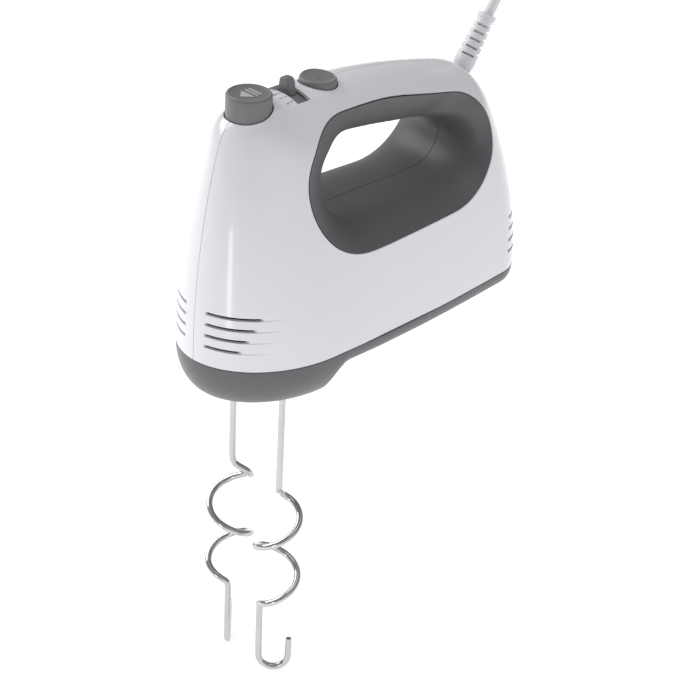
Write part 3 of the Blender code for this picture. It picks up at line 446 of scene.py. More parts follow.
def hank_line():
    """The tied turns: down the near side and up the far side, one layer after the other."""
    near, far = CORD_R, HANK_DEPTH - CORD_R
    fold = (far - near) / 2
    low, high = fold + CORD_R, HANK_LENGTH - fold - CORD_R
    layers = int(round(HANK_WIDTH / (2 * CORD_R)))
    line = []
    for layer in range(layers):
        across = LEAD_ACROSS - 2 * CORD_R * layer
        top = HANK_LENGTH - 1.0 if layer == 0 else high
        foot = 1.0 if layer == layers - 1 else low
        line += [hank_place(near, top + (foot - top) * k / 10, across) for k in range(11)]
        if layer == layers - 1:
            break
        for k in range(1, 13):
            turn = pi * k / 12
            line.append(hank_place(near + fold * (1 - cos(turn)), low - fold * sin(turn), across))
        line += [hank_place(far, low + (high - low) * k / 8, across) for k in range(1, 9)]
        for k in range(1, 12):
            turn = pi * k / 12
            line.append(hank_place(far - fold * (1 - cos(turn)), high + fold * sin(turn),
                                   across - 2 * CORD_R * smooth_step(k / 12)))
    return line


def lead_line():
    """From the hank's foot round to the plug beside it."""
    near = CORD_R
    line = [hank_place(near + LEAD_BEND_R * (1 - cos(pi * k / 14)), -6.0 - LEAD_BEND_R * sin(pi * k / 14),
                       -LEAD_ACROSS) for k in range(15)]
    return line + [hank_place(near + 2 * LEAD_BEND_R, -GAP, -LEAD_ACROSS)]


def make_cord():
    start = GLAND_BASE + GLAND_AXIS * (GLAND_LENGTH + GAP)
    free = smooth_line([start] + CORD_ROUTE + [hank_place(CORD_R, HANK_LENGTH, LEAD_ACROSS)], 2 * CORD_R)
    line = free + hank_line() + lead_line()
    data = bpy.data.curves.new("mains_lead", "CURVE")
    data.dimensions = "3D"
    data.bevel_depth = CORD_R * MM
    data.bevel_resolution = 5
    data.use_fill_caps = True
    spline = data.splines.new("POLY")
    spline.points.add(len(line) - 1)
    for point, place in zip(spline.points, line):
        point.co = (*row(place), 1.0)
    spline.use_smooth = True
    data.materials.append(CORD)
    made = bpy.data.objects.new("mains_lead", data)
    bpy.context.scene.collection.objects.link(made)
    return belongs(made, "frame", "white_cord", "power_cord", "cord_hank", "cord_lead")


def make_tie():
    """A soft strap round the hank, its edges rounded."""
    middle = HANK_LENGTH / 2
    wide, deep = HANK_WIDTH / 2 + GAP + 0.5, HANK_DEPTH + GAP + 0.5
    outline = rounded_polygon([(-GAP - 0.5, -wide, 2.4), (deep, -wide, 2.4), (deep, wide, 2.4),
                               (-GAP - 0.5, wide, 2.4)], 6)
    section = [(-0.45, -2.4), (0.45, -2.4), (0.5, 0.0), (0.45, 2.4), (-0.45, 2.4), (-0.5, 0.0)]
    rings = []
    center = (HANK_DEPTH / 2, 0.0)
    for a, b in outline:
        out = Vector((a - center[0], b - center[1])).normalized()
        rings.append([hank_place(a + out.x * s, middle + h, b + out.y * s) for s, h in section])
    points = [p for ring in rings for p in ring]
    made = mesh_object("lead_tie", points, grid_faces(len(rings), len(section), True, True), INNER)
    return belongs(settle(made), "frame", "black_plastic", "cord_tie")


def make_plug():
    """A flat two-pin plug: a ribbed neck that widens into the body, all edges soft."""
    middle = CORD_R + 2 * LEAD_BEND_R
    rings = []
    neck = ((0.0, 4.2, 4.2), (0.6, 4.8, 4.8), (2.6, 4.8, 4.8), (3.0, 3.9, 3.9), (4.2, 3.9, 3.9),
            (4.6, 5.2, 5.2), (6.8, 5.4, 5.3), (7.2, 4.4, 4.4), (8.4, 4.6, 4.5), (8.8, 6.2, 5.8))
    body = ((12.0, 8.2, 6.4), (16.0, 12.5, 6.8), (20.0, 16.6, 7.0), (24.0, 17.4, 7.0),
            (30.0, 17.4, 7.0), (34.8, 17.2, 6.9), (35.7, 16.6, 6.3), (36.0, 15.6, 5.4))
    for z, wide, thick in neck + body:
        power = 2.2 if z < 9.0 else 4.0
        ring = []
        for k in range(48):
            turn = 2 * pi * k / 48
            size = (abs(cos(turn)) ** power + abs(sin(turn)) ** power) ** (-1 / power)
            across, deep = wide * size * cos(turn), thick * size * sin(turn)
            ring.append(hank_place(middle + across, z, -LEAD_ACROSS + deep))
        rings.append(ring)
    made = mesh_object("plug_shell", *loft(rings), CORD)
    return belongs(settle(made, 40.0), "frame", "white_cord", "plug_body")


cord = make_cord()
tie = make_tie()
plug = make_plug()


def make_strain_relief():
    """A tapered sleeve with slots on two sides in turn, and a collar at its tip."""
    other = Vector((1.0, 0.0, 0.0))
    up = GLAND_AXIS.cross(other)
    sides = 72
    pitch, first, slots, slot_turn = 2.0, 6.6, 10, radians(-53)
    heights = [-9.0, -6.6, -6.5, 1.0, 1.3, 5.0]
    for k in range(slots):
        middle = first + pitch * k
        heights += [middle - 0.55, middle - 0.45, middle + 0.45, middle + 0.55]
    heights += [GLAND_LENGTH - 2.6, GLAND_LENGTH - 2.4, GLAND_LENGTH - 0.4, GLAND_LENGTH]

    def radius_at(height, turn):
        if height <= -6.6:
            return 6.4
        if height < 1.0:
            return 4.2
        if height > GLAND_LENGTH - 2.5:
            return 4.8 - 0.4 * (height == GLAND_LENGTH)
        full = 5.4 - 1.2 * max(height - 5.0, 0.0) / (GLAND_LENGTH - 7.5)
        number = round((height - first) / pitch)
        in_slot = 0 <= number < slots and abs(height - first - pitch * number) < 0.5
        aside = sin(turn - slot_turn) if number % 2 == 0 else cos(turn - slot_turn)
        if in_slot and abs(aside) < 0.62:
            return CORD_R + 0.3
        return full - 0.25 * (height == 1.0)

    rings = []
    for height in heights:
        center = GLAND_BASE + GLAND_AXIS * height
        ring = []
        for k in range(sides):
            turn = 2 * pi * (k + 0.5) / sides
            ring.append(center + (other * cos(turn) + up * sin(turn)) * radius_at(height, turn))
        rings.append(ring)
    made = mesh_object("lead_sleeve", *loft(rings), CORD)
    return belongs(settle(made, 40.0), "frame", "white_cord", "strain_relief")


make_strain_relief()


# ---------------------------------------------------------------- housing surface

TOP_Z = 123.1
HALF_WIDTH = 41.4
NOSE_Y, NOSE_PULL, NOSE_POWER = -43.0, 18.5, 2.2      # foot of the nose, and how it leans back
REAR_Y, REAR_PULL, REAR_POWER = 163.8, 30.1, 1.75
TOP_DROP, TOP_POWER = 15.2, 1.5                       # fall of the top towards the rear
SIDE_DROP, SIDE_POWER = 7.7, 1.42                     # narrowing of the plan towards the rear
TAPER_Y = 45.0                                        # where both begin
TOP_TAPER_LENGTH, SIDE_TAPER_LENGTH = 84.0, 100.0
REAR_TOP_Z = 105.0
LEAN = 0.41                                           # narrowing towards the top
NOSE_ROUND, TOP_ROUND, REAR_ROUND = 53.3, 29.5, 25.9
PROFILE_POWER = 5.3
SECTION_POWER = 2.0
WALL = 2.2
TRIM_WALL = 1.6
EYE = (62.0, 80.0)
TRIM_CORNERS = [(-0.6, 47.0, 37.0), (127.0, 48.5, 30.0), (127.0, 98.8, 23.5), (58.0, 113.7, 150.0),
                (-0.6, 114.1, 29.5)]
TUNNEL_CORNERS = [(22.3, 57.5, 20.0), (121.0, 57.5, 17.0), (118.0, 86.0, 20.0), (22.8, 98.5, 18.0)]
CREASE_X, CREASE_LIFT = 11.0, 0.8    # flat strip between the controls, and its height over the round top
CREASE_FROM, CREASE_TO = 26.0, 44.0  # where the strip fades out along y


def front_y(z):
    return NOSE_Y + NOSE_PULL * (max(z, 0.0) / TOP_Z) ** NOSE_POWER


def rear_y(z):
    return REAR_Y - REAR_PULL * (max(z, 0.0) / REAR_TOP_Z) ** REAR_POWER


def top_z(y):
    return TOP_Z - TOP_DROP * (max(y - TAPER_Y, 0.0) / TOP_TAPER_LENGTH) ** TOP_POWER


def side_x(y):
    return HALF_WIDTH - SIDE_DROP * (max(y - TAPER_Y, 0.0) / SIDE_TAPER_LENGTH) ** SIDE_POWER


def edge_ratio(y, z):
    """0 deep inside the side view's profile, and 1 on its rounded edge."""
    total = 0.0
    sides = ((y - front_y(z), NOSE_ROUND), (top_z(y) - z, TOP_ROUND), (rear_y(z) - y, REAR_ROUND))
    for depth, reach in sides:
        total += (1 - min(depth / reach, 1.0)) ** PROFILE_POWER
    return total ** (1 / PROFILE_POWER)


def half_width(y, z):
    """Half the housing's width at a point of its side view."""
    edge = min(edge_ratio(y, z), 1.0)
    lean = 1 - LEAN * (max(z, 0.0) / TOP_Z) ** 2
    return side_x(y) * lean * (1 - edge * edge) ** (1 / SECTION_POWER)


def surface_normal(y, z):
    step = 0.05
    slope_y = (half_width(y + step, z) - half_width(y - step, z)) / (2 * step)
    slope_z = (half_width(y, z + step) - half_width(y, z - step)) / (2 * step)
    return Vector((1.0, -slope_y, -slope_z)).normalized()


def profile_reach(turn):
    """Distance from the opening's middle to the edge of the side view, bottom line included."""
    near, far = 0.0, 200.0
    for _ in range(40):
        middle = (near + far) / 2
        y, z = EYE[0] + middle * cos(turn), EYE[1] + middle * sin(turn)
        if z > 0.0 and edge_ratio(y, z) < 1.0:
            near = middle
        else:
            far = middle
    return near


def crease_lift(x, y, z):
    """How far the flat strip that carries the controls stands over the rounded top."""
    if z < 100.0 or y > CREASE_TO:
        return 0.0
    along = smooth_step((CREASE_TO - y) / (CREASE_TO - CREASE_FROM)) * smooth_step((y + 36.0) / 14.0)
    inside = min(abs(x) / CREASE_X, 1.0) ** 2
    outside = 1 - smooth_step((abs(x) - CREASE_X) / 5.0)
    return CREASE_LIFT * along * inside * outside


trim_reach = reach_of(rounded_polygon(TRIM_CORNERS), EYE)
tunnel_reach = reach_of(rounded_polygon(TUNNEL_CORNERS), EYE)


def opening_turns(count):
    """Directions of the rays from the opening's middle, closer together at the bottom's two corners."""
    floor = []
    for k in range(count // 3 + 1):
        part = k / (count // 3)
        bend = (1 - cos(pi * part)) / 2
        bend = bend ** 1.4 if part < 0.5 else 1 - (1 - bend) ** 1.4
        floor.append(atan2(-EYE[1], NOSE_Y + (REAR_Y - NOSE_Y) * bend - EYE[0]) % (2 * pi))
    first, last = floor[0], floor[-1]
    span = (first - last) % (2 * pi)
    rest = [(last + span * k / count) % (2 * pi) for k in range(1, count)]
    return sorted(floor + rest)


TURNS = opening_turns(210)


def make_housing(label, side):
    """One half of the housing: a ring of wall round the handle opening, its edges rounded."""
    steps = 44
    parts = [(k / steps) ** 2.3 for k in range(steps + 1)]
    edge_r = 0.5
    outer, inner = [], []
    for turn in TURNS:
        far, near = profile_reach(turn), trim_reach(turn) + HALF_GAP
        on_floor = EYE[1] + far * sin(turn) < 1e-3 and edge_ratio(EYE[0] + far * cos(turn), 0.0) < 0.999
        inner_far = far if on_floor else far - WALL
        outside, inside = [], []
        for k, part in enumerate(parts):
            reach = far + (near + edge_r - far) * part
            y, z = EYE[0] + reach * cos(turn), max(EYE[1] + reach * sin(turn), 0.0)
            x = HALF_GAP if k == 0 and not on_floor else max(half_width(y, z), HALF_GAP)
            outside.append((x, y, z + crease_lift(x, y, z)))
            reach = inner_far + (near - inner_far) * part
            y, z = EYE[0] + reach * cos(turn), max(EYE[1] + reach * sin(turn), 0.0)
            inside.append((HALF_GAP + max(x - HALF_GAP, 0.0) * (1 - WALL / HALF_WIDTH), y, z))
        lip = outside[-1][0]
        for bend in (30, 60, 90):
            reach = near + edge_r * (1 - sin(radians(bend)))
            y, z = EYE[0] + reach * cos(turn), EYE[1] + reach * sin(turn)
            outside.append((lip - edge_r * (1 - cos(radians(bend))), y, z))
            inside.append((inside[-1][0] - 0.02, y, z))
        outer += [(side * x, y, z) for x, y, z in outside]
        inner += [(side * x, y, z) for x, y, z in inside]
    rows, columns = len(TURNS), len(outside)
    faces = grid_faces(rows, columns, wrap_rows=True)
    shift = rows * columns
    faces += [tuple(v + shift for v in reversed(face)) for face in faces]
    for k in range(rows):
        for column in (0, columns - 1):
            a, b = k * columns + column, (k + 1) % rows * columns + column
            faces.append((a, b, b + shift, a + shift))
    made = mesh_object("housing_shell_" + label, outer + inner, faces, WHITE)
    for shapes in (vent_slots(side) + control_shapes(), vent_grooves(side)):
        cut(made, *merged(shapes))
    weighted = made.modifiers.new("weighted", "WEIGHTED_NORMAL")
    weighted.keep_sharp = True
    return belongs(made, "frame", "white_gloss_plastic", "housing_" + label)


VENT_HALF = 0.85
NOSE_VENT_Z, NOSE_VENT_STEP = 27.4, 5.8
REAR_VENT_Z, REAR_VENT_STEP = 29.1, 6.3
NOSE_VENT_X, REAR_VENT_X = 6.6, 14.0
NOSE_VENT_REACH, NOSE_VENT_SHORTER = 17.5, 2.6
REAR_VENT_REACH = 23.4
GROOVE_LENGTH, GROOVE_DEPTH = 11.0, 0.28


def box_shape(low, high):
    points = [(x, y, z) for z in (low[2], high[2]) for x, y in
              ((low[0], low[1]), (high[0], low[1]), (high[0], high[1]), (low[0], high[1]))]
    return points, [(0, 3, 2, 1), (4, 5, 6, 7), (0, 1, 5, 4), (1, 2, 6, 5), (2, 3, 7, 6), (3, 0, 4, 7)]


def groove_shape(side, z, start, end, depth):
    """A band along the wall at one height: where a slot runs out into a shallow groove."""
    rings = []
    for k in range(13):
        part = k / 12
        y = start + (end - start) * part
        deep = depth * (1 - part) + 0.02
        tall = VENT_HALF * (1 - 0.6 * part)
        x = half_width(y, z)
        out = surface_normal(y, z)
        ends = [Vector((x, y, z)) - out * deep, Vector((x, y, z)) + out * 2.0]
        ring = [(side * p.x, p.y, z + h) for h in (-tall, tall) for p in (ends if h < 0 else ends[::-1])]
        rings.append(ring)
    return loft(rings)


def merged(shapes):
    """Several closed shapes as one list of points and one of faces."""
    points, faces = [], []
    for more, more_faces in shapes:
        start = len(points)
        points += more
        faces += [tuple(start + v for v in face) for face in more_faces]
    return points, faces


def vent_slots(side):
    """Four slots at the nose and four at the rear, all level."""
    shapes = []
    for k in range(4):
        nose_end = NOSE_Y + NOSE_VENT_REACH - NOSE_VENT_SHORTER * k
        for z, near, start, end in (
                (NOSE_VENT_Z - NOSE_VENT_STEP * k, NOSE_VENT_X, NOSE_Y - 6.0, nose_end),
                (REAR_VENT_Z - REAR_VENT_STEP * k, REAR_VENT_X, REAR_Y - REAR_VENT_REACH, REAR_Y + 6.0)):
            low, high = sorted((side * near, side * 60.0))
            shapes.append(box_shape((low, start, z - VENT_HALF), (high, end, z + VENT_HALF)))
    return shapes


def vent_grooves(side):
    """The shallow grooves that the nose slots run out into."""
    shapes = []
    for k in range(4):
        start = NOSE_Y + NOSE_VENT_REACH - NOSE_VENT_SHORTER * k - 0.3
        z = NOSE_VENT_Z - NOSE_VENT_STEP * k
        shapes.append(groove_shape(side, z, start, start + GROOVE_LENGTH, GROOVE_DEPTH))
    return shapes


EJECTOR = (0.0, -11.3)
EJECTOR_R = 11.0
EJECTOR_TOP_Z = 128.7
SLOT = [(-11.0, 9.2, 0.8), (11.0, 9.2, 0.8), (11.0, 17.6, 0.8), (-11.0, 17.6, 0.8)]
TURBO_Y = 32.0
TURBO_HALF_X, TURBO_HALF_Y = 9.4, 8.8


def turbo_outline(grow, sides=64):
    """Egg shape of the turbo button, its narrower end towards the selector."""
    points = []
    for k in range(sides):
        turn = 2 * pi * k / sides
        across = (TURBO_HALF_X + grow) * (1 + 0.10 * sin(turn)) * cos(turn)
        points.append((across, TURBO_Y + (TURBO_HALF_Y + grow) * sin(turn)))
    return points


def control_shapes():
    """The openings for the three controls and the lead's sleeve."""
    side = Vector((1.0, 0.0, 0.0))
    other = GLAND_AXIS.cross(side)
    gland = [[GLAND_BASE + GLAND_AXIS * h + (side * cos(pi * k / 24) + other * sin(pi * k / 24)) * 4.6
              for k in range(48)] for h in (-12.0, 12.0)]
    return [prism(round_outline(EJECTOR, EJECTOR_R + 0.5), 96.0, 132.0),
            prism(rounded_polygon(SLOT, 5), 106.0, 132.0),
            prism(turbo_outline(0.5), 110.0, 132.0), loft(gland)]


for label, side in (("right", 1), ("left", -1)):
    make_housing(label, side)


# ---------------------------------------------------------------- grip lining

def make_lining(label, side):
    """The grey lining of the handle opening: it flares from the tunnel out to the housing's side."""
    steps = 30
    parts = [(k / steps) ** 1.5 for k in range(steps + 1)]

    def lining(turn, part):
        far, near = trim_reach(turn) - HALF_GAP, tunnel_reach(turn)
        reach = far + (near - far) * (1 - (1 - part) ** 3)
        lip = half_width(EYE[0] + far * cos(turn), EYE[1] + far * sin(turn))
        return Vector((HALF_GAP + (lip - HALF_GAP) * (1 - part), EYE[0] + reach * cos(turn),
                       EYE[1] + reach * sin(turn)))

    front, back = [], []
    for turn in TURNS:
        for k, part in enumerate(parts):
            here = lining(turn, part)
            along = lining(turn + 0.01, part) - lining(turn - 0.01, part)
            inward = lining(turn, min(part + 0.01, 1.0)) - lining(turn, max(part - 0.01, 0.0))
            normal = inward.cross(along).normalized()
            if normal.dot(Vector((0.0, cos(turn), sin(turn)))) > 0:
                normal.negate()
            if k == 0:
                normal = Vector((1.0, 0.0, 0.0))
                here.x -= 0.12
            if k == steps:
                normal.x = 0.0
                normal.normalize()
            behind = here - normal * TRIM_WALL
            front.append((side * here.x, here.y, here.z))
            back.append((side * max(behind.x, HALF_GAP), behind.y, behind.z))
    rows, columns = len(TURNS), len(parts)
    faces = grid_faces(rows, columns, wrap_rows=True)
    shift = rows * columns
    faces += [tuple(v + shift for v in reversed(face)) for face in faces]
    for k in range(rows):
        for column in (0, columns - 1):
            a, b = k * columns + column, (k + 1) % rows * columns + column
            faces.append((a, b, b + shift, a + shift))
    made = settle(mesh_object("grip_lining_" + label, front + back, faces, TRIM), 50.0)
    return belongs(made, "frame", "grip_soft_grey", "grip_trim_" + label)


for label, side in (("right", 1), ("left", -1)):
    make_lining(label, side)


# ---------------------------------------------------------------- base tray

BAND_DEPTH, BOWL_DEPTH, BASE_WALL = 7.5, 23.0, 2.4
BOWL_END_Y, BOWL_SLOPE = 9.5, 12.5
BAND_INSET, BOWL_INSET = 3.0, 9.8
SPINDLE_X = joints["spindle_right_spin"]["pos_m"][0] / MM
SCREWS = ((0.0, 46.0), (22.0, 126.0), (-22.0, 126.0))


def base_depth(y):
    """Depth of the tray below the seam: a deep bowl under the nose, a thin band behind it."""
    return BOWL_DEPTH + (BAND_DEPTH - BOWL_DEPTH) * smooth_step((y - BOWL_END_Y) / BOWL_SLOPE)


def make_base():
    count = 96
    ys = []
    for k in range(count + 1):
        bend = (1 - cos(pi * k / count)) / 2
        bend = bend ** 1.2 if k < count / 2 else 1 - (1 - bend) ** 1.2
        ys.append(NOSE_Y + (REAR_Y - NOSE_Y) * bend)
    right = [(half_width(y, 0.05), y) for y in ys]
    right[0], right[-1] = (0.0, NOSE_Y), (0.0, REAR_Y)
    outline = right + [(-x, y) for x, y in reversed(right[1:-1])]
    total = len(outline)
    normals = []
    for k in range(total):
        ahead = Vector(outline[(k + 1) % total]) - Vector(outline[k - 1])
        normals.append(Vector((ahead.y, -ahead.x)).normalized())

    def tray_ring(turn, wall, top, pull=0.0):
        ring = []
        for (x, y), normal in zip(outline, normals):
            depth = base_depth(y)
            share = (depth - BAND_DEPTH) / (BOWL_DEPTH - BAND_DEPTH)
            inset = (BAND_INSET + BOWL_INSET * share) * (1 - cos(turn)) + wall + pull
            ring.append((x - normal.x * inset, y - normal.y * inset, top - (depth - wall + top) * sin(turn)))
        return ring

    def floor_ring(edge, part, wall):
        ring = []
        for x, y, _ in edge:
            along = 40.0 + (y - 40.0) * (0.55 + 0.45 * part)
            ring.append((x * part, along, wall - base_depth(along)))
        return ring

    turns = [radians(90 * k / 12) for k in range(13)]
    outside = [tray_ring(t, 0.0, -GAP - 0.3) for t in turns]
    outside.insert(0, tray_ring(0.0, 0.0, -GAP, 0.3))
    inside = [tray_ring(t, BASE_WALL, -GAP) for t in turns[::3]]
    shares = [0.9, 0.8, 0.65, 0.5, 0.35, 0.2, 0.1]
    outside += [floor_ring(outside[-1], part, 0.0) for part in shares]
    inside += [floor_ring(inside[-1], part, BASE_WALL) for part in shares[::2]]
    rings = list(reversed(outside)) + inside
    points, faces = loft(rings, capped=False)
    for start in (0, (len(rings) - 1) * total):
        for k in range(count):
            across = [k, k + 1, (total - k - 1) % total, (total - k) % total]
            faces.append([start + v for v in dict.fromkeys(across)])
    made = mesh_object("base_tray", points, faces, BASE)
    for x in (SPINDLE_X, -SPINDLE_X):
        cut(made, *prism(round_outline((x, 0.0), 7.6), -30.0, -12.0))
    for x, y in SCREWS:
        cut(made, *prism(round_outline((x, y), 3.5, 40), -26.0, 4.0))
    plate = rounded_polygon([(-19.0, 66.0, 2.0), (19.0, 66.0, 2.0), (19.0, 106.0, 2.0),
                             (-19.0, 106.0, 2.0)], 6)
    cut(made, *prism(plate, -9.0, -BAND_DEPTH + 0.35))
    weighted = made.modifiers.new("weighted", "WEIGHTED_NORMAL")
    weighted.keep_sharp = True
    return belongs(made, "frame", "base_grey_plastic", "base_cover")


make_base()


# ---------------------------------------------------------------- small turned and wound pieces

def spring_coil(name, node, center, radius, wire, low, high, turns):
    """A return spring under its button, with a mesh of its own."""
    steps = 28
    path = []
    for k in range(int(turns * steps) + 1):
        turn = 2 * pi * k / steps
        rise = low + wire + (high - low - 2 * wire) * k / (turns * steps)
        path.append((center[0] + radius * cos(turn), center[1] + radius * sin(turn), rise))
    made = settle(mesh_object(name, *tube(path, wire, 10), STEEL), 50.0)
    belongs(made, "frame", "polished_steel", node)
    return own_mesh(made)


spring_coil("return_spring_ejector", "ejector_spring", EJECTOR,
            radius=6.4, wire=0.6, low=80.3, high=104.0, turns=5)
spring_coil("return_spring_turbo", "turbo_spring", (0.0, TURBO_Y),
            radius=3.0, wire=0.4, low=104.3, high=111.7, turns=4)

for label, side in (("right", 1), ("left", -1)):
    x = side * SPINDLE_X
    sleeve = [(2.05, -24.3), (2.25, -24.5), (4.8, -24.5), (5.0, -24.3), (5.0, 43.6), (4.8, 43.8),
              (2.25, 43.8), (2.05, 43.6)]
    made = settle(mesh_object("spindle_tube_" + label, *turned(sleeve, (x, 0.0, 0.0)), STEEL), 30.0)
    belongs(made, "spindle_" + label, "polished_steel", "spindle_sleeve_" + label)
    bush = [(5.3, -22.4), (5.6, -22.7), (7.0, -22.7), (7.3, -22.4), (7.3, -18.9), (8.3, -18.9), (8.3, -16.5),
            (5.3, -16.5)]
    made = settle(mesh_object("bush_ring_" + label, *turned(bush, (x, 0.0, 0.0)), BRASS), 30.0)
    belongs(made, "frame", "brass", "spindle_bush_" + label)

for number, (x, y) in enumerate(SCREWS, 1):
    head = [(0.0, -6.5), (2.2, -6.5), (2.8, -6.2), (3.1, -5.7), (3.1, -4.4), (1.5, -4.2), (1.5, 2.9),
            (0.0, 3.8)]
    made = settle(mesh_object("screw_%d" % number, *turned(head, (x, y, 0.0), sides=48), STEEL), 30.0)
    cut(made, *box_shape((x - 1.7, y - 0.35, -8.0), (x + 1.7, y + 0.35, -5.6)))
    cut(made, *box_shape((x - 0.35, y - 1.7, -8.0), (x + 0.35, y + 1.7, -5.7)))
    belongs(made, "frame", "polished_steel", "base_screw_%d" % number)


# ---------------------------------------------------------------- controls

def rim_ring(name, body, outline, section):
    """A thin light edge that runs round the top of a button."""
    rings = [[(a, b, h) for a, b in outline(grow)] for grow, h in section]
    points = [p for ring in rings for p in ring]
    made = mesh_object(name, points, grid_faces(len(rings), len(rings[0]), True, True), RIM)
    return belongs(settle(made, 60.0), body, "grey_plastic")


def make_ejector():
    x, y = EJECTOR
    top = EJECTOR_TOP_Z
    profile = [(0.0, 104.3), (8.0, 104.3), (10.8, 106.0), (EJECTOR_R, 107.0), (EJECTOR_R - 0.1, top - 1.3),
               (EJECTOR_R - 0.2, top - 0.8), (EJECTOR_R - 0.5, top - 0.3), (EJECTOR_R - 0.9, top - 0.05),
               (EJECTOR_R - 1.3, top), (EJECTOR_R - 1.7, top - 0.08), (EJECTOR_R - 2.0, top - 0.35),
               (EJECTOR_R - 2.4, top - 0.5), (5.0, top - 0.62), (0.0, top - 0.66)]
    made = settle(mesh_object("ejector_cap", *turned(profile, (x, y, 0.0), sides=96), CONTROL), 45.0)
    belongs(made, "ejector", "grey_plastic", "ejector_button")
    rim_ring("ejector_rim", "ejector", lambda grow: round_outline(EJECTOR, EJECTOR_R + grow, 96),
             [(-0.95, top - 0.3), (-0.95, top + 0.02), (-1.15, top + 0.06), (-1.4, top + 0.02),
              (-1.4, top - 0.3)])
    low, high = top - 0.66, top - 0.42
    triangle = [(0.0, -5.6), (4.6, -0.6), (-4.6, -0.6)]
    bars = [[(-4.4, a), (4.4, a), (4.4, a + 1.1), (-4.4, a + 1.1)] for a in (1.0, 3.2)]
    marks = [prism([(x + a, y + b) for a, b in outline], low, high) for outline in [triangle] + bars]
    icon = settle(mesh_object("ejector_icon", *merged(marks), PRINT), 30.0)
    belongs(icon, "ejector", "grey_plastic")


SELECTOR_PIVOT_Z = (joints["selector_swing"]["pos_m"][2] - DATUM.z) / MM
SELECTOR_REST = radians(-3.3)
SKIRT_R = 24.4
SKIRT_WALL = 1.4
SKIRT_HALF_ANGLE = radians(29)
SKIRT_Y = (9.6, 17.2)
PADDLE_Y = (11.9, 16.3)
PADDLE_TIP_R = 32.3


def make_selector():
    """Speed lever: a soft-edged paddle on a curved skirt that fills the slot."""
    def turned_place(a, b, h):
        return (a * cos(SELECTOR_REST) + b * sin(SELECTOR_REST), h,
                SELECTOR_PIVOT_Z - a * sin(SELECTOR_REST) + b * cos(SELECTOR_REST))

    steps = 32
    arc = [SKIRT_HALF_ANGLE * (2 * k / steps - 1) for k in range(steps + 1)]
    skirt = [(SKIRT_R * sin(t), SKIRT_R * cos(t)) for t in arc]
    inner_r = SKIRT_R - SKIRT_WALL
    skirt += [(inner_r * sin(t), inner_r * cos(t)) for t in reversed(arc)]
    made = mesh_object("speed_skirt", *prism(skirt, *SKIRT_Y, turned_place), CONTROL)
    bevel(made, 0.25, 2, 50.0)
    belongs(settle(made), "selector", "grey_plastic", "speed_lever")

    foot, neck, tip = 4.6, 3.9, 3.3
    outline = [(-foot, SKIRT_R - 0.4), (foot, SKIRT_R - 0.4), (foot - 0.3, SKIRT_R + 0.5)]
    outline += [(neck, SKIRT_R + 1.6), (neck - 0.25, SKIRT_R + 3.4)]
    corner = [radians(90 * k / 8) for k in range(9)]
    outline += [(tip - 2.4 + 2.4 * cos(t), PADDLE_TIP_R - 2.4 + 2.4 * sin(t)) for t in corner]
    outline += [(-a, b) for a, b in reversed(outline[2:])]
    paddle = mesh_object("speed_paddle", *prism(outline, *PADDLE_Y, turned_place), CONTROL)
    bevel(paddle, 0.7, 4, 40.0)
    belongs(settle(paddle), "selector", "grey_plastic")

    web = [(-3.2, -3.2), (3.2, -3.2), (3.2, 3.0), (2.2, 5.0), (2.2, SKIRT_R - 0.9), (-2.2, SKIRT_R - 0.9),
           (-2.2, 5.0), (-3.2, 3.0)]
    arm = mesh_object("speed_arm", *prism(web, 11.6, 14.9, turned_place), CONTROL)
    cut(arm, *prism(round_outline((0.0, 0.0), 1.8, 40), 9.0, 17.5, turned_place))
    belongs(arm, "selector", "grey_plastic")


def make_turbo():
    """A dished, egg-shaped cap with a soft rim."""
    rings = [[(a, b, h) for a, b in turbo_outline(grow)] for grow, h in
             ((0.0, 112.0), (0.0, 123.6), (-0.08, 124.2), (-0.3, 124.7), (-0.65, 125.05), (-1.1, 125.2),
              (-1.5, 125.15), (-2.0, 124.95), (-3.0, 124.75), (-4.5, 124.6), (-6.5, 124.5), (-8.2, 124.48))]
    made = mesh_object("turbo_cap", *loft(rings), CONTROL)
    belongs(settle(made, 45.0), "turbo", "grey_plastic", "turbo_button")
    rim_ring("turbo_rim", "turbo", turbo_outline,
             [(-0.75, 124.9), (-0.75, 125.2), (-1.0, 125.27), (-1.3, 125.2), (-1.3, 124.9)])
    stroke = [(-3.4, 0.5), (-0.6, 1.4), (-0.9, 0.3), (3.4, -0.6), (0.5, -1.3), (0.8, -0.3)]
    icon = mesh_object("turbo_icon", *prism([(a, TURBO_Y + b) for a, b in stroke], 124.3, 124.62), CONTROL)
    belongs(settle(icon), "turbo", "grey_plastic")


def strip_z(x, y):
    """Height of the housing's top, for what is printed on it."""
    low, high = 100.0, top_z(y)
    for _ in range(40):
        middle = (low + high) / 2
        if half_width(y, middle) > abs(x):
            low = middle
        else:
            high = middle
    return low + crease_lift(x, y, low)


